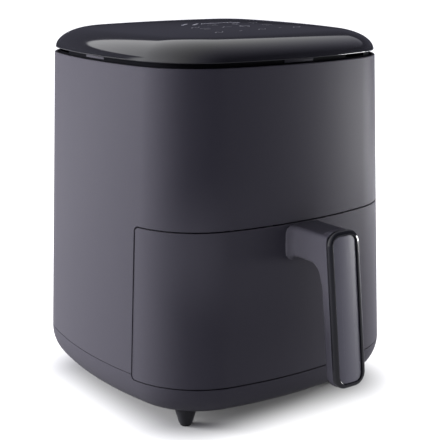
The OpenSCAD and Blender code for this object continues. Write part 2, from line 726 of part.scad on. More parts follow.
// Stands a shape drawn across the grip's width and along its length on the grip's leaning front plane
module on_grip() {
    translate([0, -grip_reach, grip_mid]) rotate([90 - grip_lean, 0, 0]) children();
}
module front_cone(grow) {
    low_z = 20;
    high_z = 200;
    translate([0, front_c, low_z])
        cylinder(h = high_z - low_z, r1 = front_r + lean(low_z) + grow, r2 = front_r + lean(high_z) + grow, $fn = 360);
}
module handle_body() {
    limb_back = -grip_reach + (arm_low - grip_mid) * tan(grip_lean) + grip_t / cos(grip_lean);
    root = -front_y(0, arm_low, 0);
    color(body_grey) shift() {
        difference() {
            union() {
                on_grip() translate([0, 0, -grip_t]) linear_extrude(limb_t - 0.05) rounded(grip_w, grip_len, 11);
                along_x(grip_w) difference() {
                    translate([limb_back - 4, arm_low - arm_bend])
                        square([root - limb_back + 14, arm_top - arm_low + arm_bend]);
                    translate([limb_back + arm_bend, arm_low - arm_bend]) circle(arm_bend);
                    translate([limb_back + arm_bend, arm_low - 2 * arm_bend]) square([60, 2 * arm_bend]);
                    translate([limb_back - 8, arm_low - 2 * arm_bend]) square([80, arm_bend]);
                }
                root_flare(root);
            }
            front_cone(0.05);
            on_grip() translate([0, 0, -frame_t - 0.05]) linear_extrude(40) square([60, 200], center = true);
            on_grip() translate([0, 0, -4 - frame_t]) for (y = [-30, 30]) translate([0, y, 0])
                cylinder(h = 30, r = 3.1);
        }
        difference() {
            translate([-12.8, -134, tenon_low + 0.2]) cube([25.6, 16, tenon_high - tenon_low - 0.4]);
            for (x = [-7, 7]) translate([x, -124, (tenon_low + tenon_high) / 2])
                rotate([-90, 0, 0]) cylinder(h = 20, r = 1.55, $fn = 24);
        }
    }
}
flare_r = 6;
module root_flare(root) {
    translate([0, 0, arm_low]) linear_extrude(arm_top - arm_low) difference() {
        translate([-grip_w / 2 - flare_r, root - flare_r]) square([grip_w + 2 * flare_r, flare_r + 6]);
        for (s = [-1, 1]) translate([s * (grip_w / 2 + flare_r), root - flare_r]) circle(flare_r);
    }
    along_x(grip_w) difference() {
        translate([root - flare_r, arm_low - flare_r]) square([flare_r + 6, flare_r + 1]);
        translate([root - flare_r, arm_low - flare_r]) circle(flare_r);
    }
}
insert_w = grip_w - 2 * frame_lip;
insert_len = grip_len - 2 * frame_lip;
module handle_frame() {
    bevel = 2.6;
    side = 60;
    color(gloss_black) shift() on_grip() difference() {
        intersection() {
            translate([0, 0, -frame_t]) linear_extrude(frame_t) rounded(grip_w, grip_len, 11);
            rotate([90, 0, 0]) linear_extrude(grip_len + 10, center = true)
                bevelled(grip_w, frame_lip - 0.5, bevel);
            rotate([90, 0, 90]) linear_extrude(side, center = true)
                bevelled(grip_len, frame_lip - 0.5, bevel);
        }
        translate([0, 0, -2.6]) linear_extrude(10) rounded(insert_w + 0.1, insert_len + 0.1, 7);
        for (y = [-30, 30]) translate([0, y, -frame_t - 1]) cylinder(h = 10, r = 3.1);
    }
}
// Half of the frame's section: flat at the back, with its front edges cut back
module bevelled(w, cut_w, cut_t) {
    polygon([[-w / 2, -frame_t - 1], [w / 2, -frame_t - 1], [w / 2, -cut_t], [w / 2 - cut_w * 0.3, -cut_t * 0.35],
        [w / 2 - cut_w, 0], [-w / 2 + cut_w, 0], [-w / 2 + cut_w * 0.3, -cut_t * 0.35], [-w / 2, -cut_t]]);
}
module handle_insert() {
    color(body_grey) shift() on_grip() {
        translate([0, 0, -2.6]) linear_extrude(2.5) rounded(insert_w, insert_len, 7);
        for (y = [-30, 30]) translate([0, y, -7.6]) cylinder(h = 5.1, r = 3);
    }
}
module handle_bracket() {
    z = (tenon_low + tenon_high) / 2;
    half = 8.2;
    color(steel) shift() difference() {
        union() {
            translate([-24, -118, z - half]) cube([48, 2, 2 * half]);
            translate([-24, -118, z - half]) cube([48, 17.4, 1.6]);
        }
        for (x = [-7, 7]) translate([x, -120, z]) rotate([-90, 0, 0]) cylinder(h = 6, r = 1.7, $fn = 24);
    }
}
module handle_screws() {
    color(steel) shift() for (x = [-7, 7]) translate([x, -116, (tenon_low + tenon_high) / 2])
        rotate([-90, 0, 0]) screw(1.5, 7);
}

// ---- Crisper grid ----
grid_half_w = 92;
grid_half_d = 89;
module crisper_grid() {
    t = 1.6;
    rim_h = 7;
    leg_low = pan_bottom + pan_sheet + 0.3;
    color(dull_black) shift() translate([0, pan_y, 0]) {
        difference() {
            translate([0, 0, grid_z]) linear_extrude(rim_h) rounded(2 * grid_half_w, 2 * grid_half_d, 34);
            translate([0, 0, grid_z + t]) linear_extrude(rim_h) rounded(2 * grid_half_w - 3, 2 * grid_half_d - 3, 32.5);
            for (i = [-4 : 4], j = [-2 : 2]) translate([17 * i - 3, 31 * j - 12, grid_z - 1]) cube([6, 24, t + 2]);
        }
        for (x = [-68, 68], y = [-68, 68]) translate([x, y, leg_low]) cylinder(h = grid_z - leg_low + eps, r = 5);
    }
}
module grid_bumpers() {
    color(gloss_black) shift() translate([0, pan_y, grid_z + 1.2]) {
        for (s = [-1, 1]) {
            translate([s * (grid_half_w + 1.3) - 1.25, -9, 0]) cube([2.5, 18, 6]);
            translate([-9, s * (grid_half_d + 1.3) - 1.25, 0]) cube([18, 2.5, 6]);
        }
    }
}

base_tray();
base_deck();
feet();
foot_pads();
body_shell();
neck_ring();
top_cover();
control_board();
display_module();
bay_bulkhead();
drawer_bay();
bay_ceiling();
chamber_liner();
heat_shield();
heating_element();
element_clips();
heater_guard();
temperature_probe();
thermal_cutout();
motor_bracket();
motor_stator();
motor_coil();
motor_bridges();
motor_bushes();
power_board();
board_components();
board_standoffs();
exhaust_duct();
exhaust_grille();
cord_gland();
door_switch();
base_screws();
cover_screws();
motor_screws();
bay_screws();
drawer_front();
drawer_panel();
pan();
handle_body();
handle_frame();
handle_insert();
handle_bracket();
handle_screws();
front_screws();
crisper_grid();
grid_bumpers();
hot_fan();
cooling_fan();
motor_shaft();
motor_rotor();
fan_nut();
switch_plunger();
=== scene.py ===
# %% [markdown]
# This lesson dresses a basket air fryer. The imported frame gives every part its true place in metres, and
# each step below models one visible piece by hand around it: a primitive or a drawn section comes first,
# edit-mode operators shape it, and modifiers finish it. Each piece then rides on the body that moves it.

# %% Frame
import json
import math
import bpy
import bmesh
from mathutils import Matrix, Vector


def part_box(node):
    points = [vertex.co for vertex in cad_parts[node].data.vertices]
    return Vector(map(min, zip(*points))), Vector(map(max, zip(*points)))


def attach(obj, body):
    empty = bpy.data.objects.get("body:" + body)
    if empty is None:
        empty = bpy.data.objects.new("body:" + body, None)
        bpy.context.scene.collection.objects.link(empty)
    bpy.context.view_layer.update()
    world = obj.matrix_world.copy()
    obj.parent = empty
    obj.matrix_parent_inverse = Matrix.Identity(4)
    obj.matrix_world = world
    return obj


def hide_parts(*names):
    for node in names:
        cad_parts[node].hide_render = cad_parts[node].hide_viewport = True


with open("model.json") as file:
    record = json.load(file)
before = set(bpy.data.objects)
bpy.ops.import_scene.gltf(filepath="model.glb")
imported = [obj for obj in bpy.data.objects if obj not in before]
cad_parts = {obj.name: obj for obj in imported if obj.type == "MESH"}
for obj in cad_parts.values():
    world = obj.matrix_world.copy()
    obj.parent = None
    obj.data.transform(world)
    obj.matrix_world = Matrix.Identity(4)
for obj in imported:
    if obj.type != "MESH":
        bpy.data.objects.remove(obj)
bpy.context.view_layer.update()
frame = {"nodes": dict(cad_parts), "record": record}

# %% [markdown]
# The shell is a bowed tub with round corners, so its measures come first: the half sizes at the seam over
# the base, the radius of each bow and corner, and the draft, by which every wall leans in as it rises.
# Metres are used all through, and the body's middle is read from the frame.

# %% Measures of the body
HALF_WIDTH = 0.133
HALF_DEPTH = 0.134
SIDE_RADIUS = 0.363
FRONT_RADIUS = 0.333
CORNER_RADIUS = 0.071
DRAFT = 0.043
WALL = 0.0026
BASE_BOTTOM = 0.0166
BASE_CURVE_TOP = 0.044
BASE_CURVE_IN = 0.0215
BASE_SEAM = 0.0465
RIM_Z = 0.297
LIP_Z = 0.3007
DRAWER_LOW = 0.0424
DRAWER_HIGH = 0.1708
SIDE_SEAM_Y = 0.0641
SEAM_WIDTH = 0.001
SEAM_CORNER = 0.004
cover_low, cover_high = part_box("top_cover")
MID_Y = (cover_low.y + cover_high.y) / 2
print("body middle at y =", round(MID_Y, 5))


def lean(z):
    """How far the outer wall stands out from its outline at the base seam, at a height."""
    return (BASE_SEAM - z) * DRAFT


# %% [markdown]
# The camera stands to the left of the front, a little above the lid, and looks down on the fryer. It is
# set before anything is modelled, so that every piece can be looked at from the same place.

# %% Camera
CAMERA_TURN = math.radians(-35.302)
CAMERA_REACH = 0.97245
CAMERA_HEIGHT = 0.39088
CAMERA_PITCH = math.radians(-14.19)
CAMERA_AIM = math.radians(-0.3786)
CAMERA_LENS = 90.403
CAMERA_SENSOR = 36

bpy.ops.object.select_all(action="DESELECT")
camera_x = CAMERA_REACH * math.sin(CAMERA_TURN)
camera_y = MID_Y - CAMERA_REACH * math.cos(CAMERA_TURN)
bpy.ops.object.camera_add(location=(camera_x, camera_y, CAMERA_HEIGHT),
                          rotation=(math.radians(90) + CAMERA_PITCH, 0, CAMERA_TURN + CAMERA_AIM))
camera = bpy.context.object
camera.data.lens = CAMERA_LENS
camera.data.sensor_width = CAMERA_SENSOR
camera.data.sensor_fit = "HORIZONTAL"
bpy.context.scene.camera = camera
print("camera stands at", [round(v, 3) for v in camera.location])

# %% [markdown]
# Dome, floor and finishes are all made of shader nodes. One helper adds a node and makes its settings, and
# the other feeds its inputs, so that the cells below read as lists of what flows into what.


# %% Helpers for shader nodes
def feed(tree, node, inputs):
    """Sets the inputs of a node, and links those whose value is another node's socket."""
    for key, value in inputs.items():
        if isinstance(value, bpy.types.NodeSocket):
            tree.links.new(value, node.inputs[key])
        else:
            node.inputs[key].default_value = value


def add_node(tree, kind, inputs, **settings):
    """Adds a node of one kind, makes its settings and feeds its inputs."""
    node = tree.nodes.new("ShaderNode" + kind)
    for name, value in settings.items():
        setattr(node, name, value)
    feed(tree, node, inputs)
    return node


# %% [markdown]
# The room is a studio dome. It is bright behind and to the left, and fades evenly to almost black in front
# and on the right, so the glossy lid shows a band of light that is broad at the left and thin at the right.
# A dim wall stands low all round but for the front right, and its upper edge gives that band its crisp
# upper line. Rays that come straight from the camera see plain white instead.

# %% Studio dome
DOME_BRIGHT = 2.4
DOME_FALL = 1.4
DOME_TURN = math.radians(-140)
DIM_WALL = 0.09
DIM_WALL_FOOT = 0.03
DIM_WALL_FULL = math.sin(math.radians(11))
DIM_WALL_TOP = math.sin(math.radians(27))
DIM_WALL_EDGE = 0.012
DIM_SIDE_TURN = math.radians(-42)
DIM_SIDE_EDGE = 0.06
DIM_COLOUR = (0.93, 0.92, 1.24, 1)
BRIGHT_COLOUR = (1.0, 1.0, 1.02, 1)

world = bpy.data.worlds.new("studio_dome")
world.use_nodes = True
bpy.context.scene.world = world
bpy.context.scene.view_settings.view_transform = "Standard"
dome = world.node_tree
direction = add_node(dome, "TexCoord", {}).outputs["Generated"]
height = add_node(dome, "SeparateXYZ", {"Vector": direction}).outputs["Z"]
rays = add_node(dome, "LightPath", {}).outputs


def heading(turn):
    """The level direction at a turn: zero in front of the fryer and a quarter turn on its right."""
    return (math.sin(turn), -math.cos(turn), 0)


def dome_math(operation, *values):
    """One step of arithmetic on numbers and sockets."""
    return add_node(dome, "Math", dict(enumerate(values)), operation=operation).outputs["Value"]


def dome_side(turn):
    """How far a direction points towards a turn, from minus one to one."""
    step = add_node(dome, "VectorMath", {0: direction, 1: heading(turn)}, operation="DOT_PRODUCT")
    return step.outputs["Value"]


def dome_step(value, low, high):
    """A soft step from zero to one between two values."""
    step = add_node(dome, "MapRange", {"Value": value, "From Min": low, "From Max": high},
                    interpolation_type="SMOOTHSTEP")
    return step.outputs["Result"]


towards = dome_math("MULTIPLY_ADD", dome_side(DOME_TURN), 0.5, 0.5)
bright = dome_math("MULTIPLY", dome_math("POWER", towards, DOME_FALL), DOME_BRIGHT)
above_wall = dome_step(height, DIM_WALL_TOP - DIM_WALL_EDGE, DIM_WALL_TOP + DIM_WALL_EDGE)
beside_wall = dome_step(dome_side(DIM_SIDE_TURN), -DIM_SIDE_EDGE, DIM_SIDE_EDGE)
open_dome = dome_math("MAXIMUM", above_wall, beside_wall)
wall_rise = dome_step(height, 0.0, DIM_WALL_FULL)
wall = dome_math("MULTIPLY_ADD", wall_rise, DIM_WALL - DIM_WALL_FOOT, DIM_WALL_FOOT)
lit = dome_math("MAXIMUM", dome_math("MULTIPLY", bright, open_dome), wall)
shown = dome_math("MAXIMUM", lit, rays["Is Camera Ray"])
straight = dome_math("SUBTRACT", 1, rays["Is Diffuse Ray"])
hue = add_node(dome, "Mix", {"A": DIM_COLOUR, "B": BRIGHT_COLOUR,
                             "Factor": dome_math("MULTIPLY", shown, straight)}, data_type="RGBA")
feed(dome, dome.nodes["Background"], {"Color": hue.outputs["Result"], "Strength": shown})
print("dome made of", len(dome.nodes), "nodes")

# %% [markdown]
# Low soft boxes fill in the two sides. They stand a little behind the fryer as the camera sees it, so that
# the sides are bright and the corner that faces the camera falls off to dark. Only the one at the front
# right is mirrored, and the glossy lid otherwise shows the dome alone. A narrow spot from the left picks
# out the side of the handle's arm.

# %% Studio lights
LIGHT_AIM = Vector((0, MID_Y, 0.15))
FAR = (2.4, 0.5, (0.9, 0.9))
NEAR = (1.3, 0.12, (0.5, 0.22))
ARM_PLACE = Vector((0, MID_Y - 0.163, 0.155))
ARM_LIGHT_TURN = math.radians(-93)
ARM_CONE = math.radians(3.4)
ARM_LIGHT_RADIUS = 0.05


def lamp(kind, name, place, aim, power, mirrored=False):
    """A lamp that looks from its place at its aim, and that glossy pieces show only if it is mirrored."""
    bpy.ops.object.light_add(type=kind, location=place)
    made = bpy.context.object
    made.name = name
    made.rotation_euler = (aim - place).to_track_quat("-Z", "Y").to_euler()
    made.data.energy = power
    made.visible_glossy = mirrored
    return made.data


def softbox(name, turn, stand, power, mirrored=False):
    """A rectangular lamp; turn is in degrees, and a stand gives its reach, its height and its size."""
    reach, height, size = stand
    place = LIGHT_AIM + Vector(heading(math.radians(turn))) * reach
    place.z = height
    box = lamp("AREA", name, place, LIGHT_AIM, power, mirrored)
    box.shape = "RECTANGLE"
    box.size, box.size_y = size


softbox("left_softbox", -120, FAR, 70)
softbox("left_back_softbox", -135, FAR, 297)
softbox("right_softbox", 80, FAR, 139)
softbox("right_low_softbox", 90, NEAR, 72)
softbox("front_right_softbox", 65, NEAR, 14, mirrored=True)
spot = lamp("SPOT", "arm_spot", ARM_PLACE + Vector(heading(ARM_LIGHT_TURN)) * NEAR[0], ARM_PLACE, 500)
spot.spot_size = ARM_CONE
spot.spot_blend = 1.0
spot.shadow_soft_size = ARM_LIGHT_RADIUS

# %% [markdown]
# The floor is a wide sheet. Rays that come straight from the camera see light of its own added outside the
# fryer's footprint, so that it reads as white paper. That added light fades out towards the footprint, which
# paints a soft shadow that hugs the fryer: a painted shadow. The light that the floor passes on to the fryer
# is only what its plain surface scatters, and it is paler for that.

# %% Floor
FLOOR_SIZE = 30
FLOOR_TONE = 0.2
FLOOR_BOUNCE = 0.35
FLOOR_ROUGHNESS = 0.9
FOOTPRINT = 0.07
# Between these two reaches beyond the footprint, the floor's added light rises from none to full: this is the
# painted shadow.
PAINTED_SHADOW_CORE = 0.020
PAINTED_SHADOW_END = 0.086

bpy.ops.mesh.primitive_plane_add(size=FLOOR_SIZE, location=(0, MID_Y, 0))
floor = bpy.context.object
floor.name = "floor"
bpy.ops.object.transform_apply(location=True, rotation=True, scale=True)
paper = bpy.data.materials.new("floor_paper")
paper.use_nodes = True
tree = paper.node_tree
sheet = tree.nodes["Principled BSDF"]
rays = add_node(tree, "LightPath", {}).outputs
outside = add_node(tree, "TexCoord", {}).outputs["Object"]
for operation, value, result in (
        ("SUBTRACT", (0, MID_Y, 0), "Vector"), ("ABSOLUTE", (0, 0, 0), "Vector"),
        ("SUBTRACT", (FOOTPRINT, FOOTPRINT, 0), "Vector"), ("MAXIMUM", (0, 0, 0), "Vector"),
        ("LENGTH", (0, 0, 0), "Value")):
    outside = add_node(tree, "VectorMath", {0: outside, 1: value}, operation=operation).outputs[result]
# This mask is the painted shadow round the fryer: it is nothing near the footprint and one far from it.
painted_shadow_fade = add_node(tree, "MapRange", {"Value": outside, "From Min": PAINTED_SHADOW_CORE, "From Max": PAINTED_SHADOW_END},
                  interpolation_type="SMOOTHSTEP")
glow = add_node(tree, "Emission", {"Strength": painted_shadow_fade.outputs["Result"]})
# Camera rays see the sheet darker than the light it passes on, which deepens the painted shadow beside the
# fryer.
paleness = add_node(tree, "Math", {0: rays["Is Diffuse Ray"], 1: FLOOR_BOUNCE, 2: FLOOR_TONE},
                    operation="MULTIPLY_ADD")
feed(tree, sheet, {"Base Color": paleness.outputs["Value"], "Roughness": FLOOR_ROUGHNESS,
                   "Specular IOR Level": 0.0})
both = add_node(tree, "AddShader", {0: sheet.outputs["BSDF"], 1: glow.outputs["Emission"]})
choice = add_node(tree, "MixShader", {"Fac": rays["Is Camera Ray"], 1: sheet.outputs["BSDF"],
                                      2: both.outputs["Shader"]})
feed(tree, tree.nodes["Material Output"], {"Surface": choice.outputs["Shader"]})
floor.data.materials.append(paper)
print("floor of", FLOOR_SIZE, "m laid")

# %% [markdown]
# Most pieces are drawn like a draughtsman's section. A plane is merged to a single vertex, the vertex is
# extruded from point to point, and the drawn line is then moved or spun along the piece. These helpers
# keep that work short, and each one starts with nothing selected, because operators act on what is.

# %% Helpers for drawing
QUARTER = math.radians(90)
MERGE = 0.00001
TINY = 0.000001


def take(*objects):
    """Selects only these objects and makes the first one active."""
    bpy.ops.object.select_all(action="DESELECT")
    for one in objects:
        one.select_set(True)
    bpy.context.view_layer.objects.active = objects[0]


def pen(name, points):
    """Draws a line of edges through the points and stays in edit mode with all of it selected."""
    bpy.ops.object.select_all(action="DESELECT")
    bpy.ops.mesh.primitive_plane_add(size=0.001)
    drawn = bpy.context.object
    drawn.name = name
    drawn.data.name = name
    bpy.ops.object.mode_set(mode="EDIT")
    bpy.ops.mesh.select_mode(type="VERT")
    bpy.ops.mesh.select_all(action="SELECT")
    bpy.ops.mesh.merge(type="CENTER")
    bpy.ops.transform.translate(value=points[0])
    for here, there in zip(points, points[1:]):
        push_section(Vector(there) - Vector(here))
    bpy.ops.mesh.select_all(action="SELECT")
    return drawn


def push_section(offset):
    """Extrudes the selected section in a straight line."""
    bpy.ops.mesh.extrude_region_move(TRANSFORM_OT_translate={"value": offset})


def turn_section(centre, angle, steps, axis=(0, 0, 1)):
    """Spins the selected section counter-clockwise about an axis through the centre."""
    bpy.ops.mesh.spin(steps=steps, angle=-angle, center=centre, axis=axis)


def merge_doubles():
    """Merges all doubled points."""
    bpy.ops.mesh.select_all(action="SELECT")
    bpy.ops.mesh.remove_doubles(threshold=MERGE)


def close_up():
    """Merges doubled points, turns every face outwards and leaves edit mode."""
    merge_doubles()
    bpy.ops.mesh.normals_make_consistent(inside=False)
    bpy.ops.object.mode_set(mode="OBJECT")


def select_where(drawn, kind, test):
    """In edit mode, selects the edges or faces for which the test holds."""
    bpy.ops.mesh.select_mode(type={"edges": "EDGE", "faces": "FACE"}[kind])
    bpy.ops.mesh.select_all(action="DESELECT")
    mesh = bmesh.from_edit_mesh(drawn.data)
    for part in getattr(mesh, kind):
        if test(part):
            part.select_set(True)
    mesh.select_flush_mode()
    bmesh.update_edit_mesh(drawn.data)


def at_height(z):
    """A test for edges that lie at one height."""
    return lambda edge: all(abs(v.co.z - z) < TINY for v in edge.verts)


def span(edge, axis):
    """How far an edge reaches along an axis: 0 is X, 1 is Y and 2 is Z."""
    return abs(edge.verts[0].co[axis] - edge.verts[1].co[axis])


def fill_open(drawn, *tests):
    """Fills the open loop whose edges pass each test, closes up and leaves edit mode."""
    merge_doubles()
    for test in tests:
        select_where(drawn, "edges", lambda edge: edge.is_boundary and test(edge))
        bpy.ops.mesh.edge_face_add()
    close_up()


def flat_shape(name, points):
    """Draws a closed outline, fills it and stays in edit mode."""
    drawn = pen(name, points)
    merge_doubles()
    bpy.ops.mesh.edge_face_add()
    return drawn


def ring_round(name, section, half_w, half_l, corner, y=0.0, steps=12):
    """Carries a section of (growth, height) once round a rounded rectangle, and stays in edit mode."""
    cross, straight = half_w - corner, half_l - corner
    drawn = pen(name, [(half_w + grow, y - straight, up) for grow, up in section])
    for push, centre in (((0, 2 * straight, 0), (cross, y + straight, 0)),
                         ((-2 * cross, 0, 0), (-cross, y + straight, 0)),
                         ((0, -2 * straight, 0), (-cross, y - straight, 0)),
                         ((2 * cross, 0, 0), (cross, y - straight, 0))):
        push_section(push)
        turn_section(centre, QUARTER, steps)
    return drawn


def turned(name, section, x, y, steps=40):
    """Spins a section of (radius, height) a full turn about an upright axis."""
    made = pen(name, [(x + radius, y, height) for radius, height in section])
    turn_section((x, y, 0), 4 * QUARTER, steps)
    close_up()
    return made


def bow(start, across, up, steps, angle=90):
    """Points of an elliptic arc that sets out from its start straight up or down and then bends across."""
    turns = [math.radians(angle) * k / steps for k in range(steps + 1)]
    return [(start[0] + across * (1 - math.cos(turn)), start[1] + up * math.sin(turn)) for turn in turns]


def filleted(corners, closed=True, steps=5):
    """Points of a section in (across, up) whose corners (across, up, radius) are rounded off."""
    points = []
    count = len(corners)
    for i, (across, up, radius) in enumerate(corners):
        here = Vector((across, up))
        if radius == 0 or (not closed and i in (0, count - 1)):
            points.append(here)
            continue
        arm_in = (Vector(corners[i - 1][:2]) - here).normalized()
        arm_out = (Vector(corners[(i + 1) % count][:2]) - here).normalized()
        half = arm_in.angle(arm_out) / 2
        centre = here + (arm_in + arm_out).normalized() * radius / math.sin(half)
        spoke = here + arm_in * radius / math.tan(half) - centre
        sweep = math.pi - 2 * half
        if arm_in.cross(arm_out) > 0:
            sweep = -sweep
        for k in range(steps + 1):
            points.append(centre + Matrix.Rotation(sweep * k / steps, 2) @ spoke)
    if closed:
        points.append(points[0].copy())
    return points


# %% [markdown]
# Modifiers finish what the operators began. Each helper adds one, sets it and applies it at once, so that
# the piece ends as a plain mesh with its place in its points. The other helpers here start blocks and
# plates, round chosen edges, put pieces in place and join them, and give a finished piece its finish,
# chosen by its slot, and its body.


# %% Helpers for pieces
def apply_modifier(piece, kind, **settings):
    """Adds one modifier, sets it and applies it."""
    take(piece)
    bpy.ops.object.modifier_add(type=kind)
    modifier = piece.modifiers[-1]
    for name, value in settings.items():
        setattr(modifier, name, value)
    bpy.ops.object.modifier_apply(modifier=modifier.name)


def carve(piece, tool, operation="DIFFERENCE"):
    """Cuts the tool out of the piece, or keeps only what they share, and removes the tool."""
    apply_modifier(piece, "BOOLEAN", object=tool, operation=operation, solver="EXACT")
    bpy.data.objects.remove(tool)


def soften(piece, width, segments=2, angle=35):
    """Rounds the sharp edges and evens out the shading of the faces between them."""
    apply_modifier(piece, "BEVEL", width=width, segments=segments, limit_method="ANGLE",
                   angle_limit=math.radians(angle), use_clamp_overlap=False, harden_normals=False)


def smooth(piece, angle=30, weighted=False):
    """Shades smooth up to an angle, and weights the normals by face size where asked."""
    take(piece)
    bpy.ops.object.shade_smooth_by_angle(angle=math.radians(angle))
    if weighted:
        apply_modifier(piece, "WEIGHTED_NORMAL", keep_sharp=True, weight=50)


def round_edges(piece, test, radius, segments):
    """Bevels the edges for which the test holds."""
    take(piece)
    bpy.ops.object.mode_set(mode="EDIT")
    select_where(piece, "edges", test)
    bpy.ops.mesh.bevel(offset=radius, segments=segments, affect="EDGES")
    bpy.ops.object.mode_set(mode="OBJECT")


def settle(piece):
    """Puts the piece's place, turn and size into its mesh."""
    take(piece)
    bpy.ops.object.transform_apply(location=True, rotation=True, scale=True)


def put(piece, location, turn=(0, 0, 0)):
    """Turns the piece by degrees about X, Y and Z, moves it, and puts both into its mesh."""
    piece.rotation_euler = [math.radians(angle) for angle in turn]
    piece.location = location
    settle(piece)


def joined(name, pieces):
    """Joins the pieces into the first one and names it."""
    take(*pieces)
    if len(pieces) > 1:
        bpy.ops.object.join()
    pieces[0].name = name
    return pieces[0]


def block(name, low, high):
    """A box between two corners, as a start for shaping or as a cutting tool."""
    low, high = Vector(low), Vector(high)
    bpy.ops.object.select_all(action="DESELECT")
    bpy.ops.mesh.primitive_cube_add(size=1, location=(low + high) / 2)
    made = bpy.context.object
    made.name = name
    made.scale = high - low
    settle(made)
    return made


def slab(middle, half):
    """A cutting box round a place, from its half sizes."""
    middle, half = Vector(middle), Vector(half)
    return block("slab", middle - half, middle + half)


def plate(name, width, length, low, high, corner, segments=10):
    """A flat block with rounded upright corners, centred on the origin."""
    made = block(name, (-width / 2, -length / 2, low), (width / 2, length / 2, high))
    round_edges(made, lambda edge: span(edge, 2) > (high - low) / 2, corner, segments)
    return made


def dress(piece, body, slot, replaces=(), material=None):
    """Gives a finished piece its finish, picked by its slot unless a material is given, puts it on its body
    and hides the nodes that it stands for.
    """
    piece.data.name = piece.name
    piece.data.materials.clear()
    piece.data.materials.append(material or FINISH[slot])
    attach(piece, body)
    if replaces:
        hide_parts(*replaces)
    print(f"{piece.name}: {len(piece.data.polygons)} faces on {body}")


# %% [markdown]
# Colours are given as the eye reads them, in 0 to 255, and turned into the linear values that a shader
# works with. Effects that many finishes share are node groups: a fine spark grain, soft smudges, and the
# drawn-out lines of rolled or brushed metal. Each group hands out only masks and heights.


# %% Node groups for finishes
def tone(red, green, blue):
    """Turns an 8-bit colour into a shader's linear colour."""
    def linear(value):
        value = value / 255
        return value / 12.92 if value <= 0.04045 else ((value + 0.055) / 1.055) ** 2.4
    return (linear(red), linear(green), linear(blue), 1)


def new_group(name, inputs, outputs):
    """A shader node group with named float inputs and outputs; returns it with its two ends."""
    group = bpy.data.node_groups.new(name, "ShaderNodeTree")
    group.interface.new_socket("Vector", in_out="INPUT", socket_type="NodeSocketVector")
    for label, value in inputs.items():
        socket = group.interface.new_socket(label, in_out="INPUT", socket_type="NodeSocketFloat")
        socket.default_value = value
    for label in outputs:
        group.interface.new_socket(label, in_out="OUTPUT", socket_type="NodeSocketFloat")
    return group, group.nodes.new("NodeGroupInput").outputs, group.nodes.new("NodeGroupOutput")


def build_grain():
    """Spark-eroded grain: fine pits on soft hills, as an even height and a mask for tone."""
    group, start, end = new_group("spark_grain", {"Scale": 900.0}, ("Height", "Tone"))
    at = {"Vector": start["Vector"], "Scale": start["Scale"]}
    hills = add_node(group, "TexNoise", {**at, "Detail": 3.0, "Roughness": 0.6}).outputs["Fac"]
    pits = add_node(group, "TexVoronoi", at).outputs["Distance"]
    mix = add_node(group, "Math", {0: pits, 1: 0.5, 2: hills}, operation="MULTIPLY_ADD")
    feed(group, end, {"Height": mix.outputs["Value"], "Tone": hills})
    return group


def build_smudge():
    """Broad, soft patches for the way that a wiped surface holds its sheen unevenly."""
    group, start, end = new_group("smudge", {"Scale": 14.0}, ("Mask",))
    cloud = add_node(group, "TexNoise", {"Vector": start["Vector"], "Scale": start["Scale"], "Detail": 4.0,
                                         "Roughness": 0.55})
    feed(group, end, {"Mask": cloud.outputs["Fac"]})
    return group


def build_drawn():
    """Fine lines along X, as rolling and brushing leave on sheet metal."""
    group, start, end = new_group("drawn_lines", {"Scale": 60.0, "Stretch": 0.04}, ("Height", "Tone"))
    parts = add_node(group, "SeparateXYZ", {"Vector": start["Vector"]}).outputs
    squeeze = add_node(group, "Math", {0: parts["X"], 1: start["Stretch"]}, operation="MULTIPLY")
    joint = add_node(group, "CombineXYZ", {"X": squeeze.outputs["Value"], "Y": parts["Y"], "Z": parts["Z"]})
    lines = add_node(group, "TexNoise", {"Vector": joint.outputs["Vector"], "Scale": start["Scale"],
                                         "Detail": 5.0}).outputs["Fac"]
    feed(group, end, {"Height": lines, "Tone": lines})
    return group


GRAIN = build_grain()
SMUDGE = build_smudge()
DRAWN = build_drawn()
print("node groups:", [group.name for group in bpy.data.node_groups])

# %% [markdown]
# A finish is one Principled shader with its constants set on its own sockets. The groups then vary its
# colour and roughness a little and raise a fine bump, whose height is given in micrometres. The recipe is
# the same for all finishes, so a function builds it and each finish only names its values.

# %% Recipe for a finish
COAT_ROUGHNESS = 0.05
LEAST_ROUGHNESS = 0.01
MICROMETRE = 0.000001


def finish(name, colour, roughness, texture=GRAIN, scale=900.0, bump=0, colour_shift=0.0,
           roughness_shift=0.0, metallic=0.0, specular=0.5, coat=0.0, smudge_scale=14.0, anisotropic=0.0):
    """A material from a base colour, a roughness and one texture group."""
    material = bpy.data.materials.new(name)
    material.use_nodes = True
    tree = material.node_tree
    shader = tree.nodes["Principled BSDF"]
    base = tone(*colour)
    feed(tree, shader, {"Base Color": base, "Roughness": roughness, "Metallic": metallic,
                        "Specular IOR Level": specular, "Coat Weight": coat,
                        "Coat Roughness": COAT_ROUGHNESS, "Anisotropic": anisotropic})
    place = add_node(tree, "TexCoord", {}).outputs["Object"]
    fine = add_node(tree, "Group", {"Vector": place, "Scale": scale}, node_tree=texture).outputs
    broad = add_node(tree, "Group", {"Vector": place, "Scale": smudge_scale}, node_tree=SMUDGE).outputs
    tint = add_node(tree, "MapRange", {"Value": fine["Tone"], "To Min": 1 - colour_shift,
                                       "To Max": 1 + colour_shift}).outputs["Result"]
    shaded = add_node(tree, "VectorMath", {0: base[:3], "Scale": tint}, operation="SCALE").outputs["Vector"]
    sheen = add_node(tree, "MapRange", {
        "Value": broad["Mask"], "To Min": max(LEAST_ROUGHNESS, roughness - roughness_shift),
        "To Max": min(1.0, roughness + roughness_shift)}).outputs["Result"]
    feed(tree, shader, {"Base Color": shaded, "Roughness": sheen})
    if bump:
        relief = add_node(tree, "Bump", {"Strength": 1.0, "Distance": bump * MICROMETRE,
                                         "Height": fine["Height"]})
        feed(tree, shader, {"Normal": relief.outputs["Normal"]})
    return material
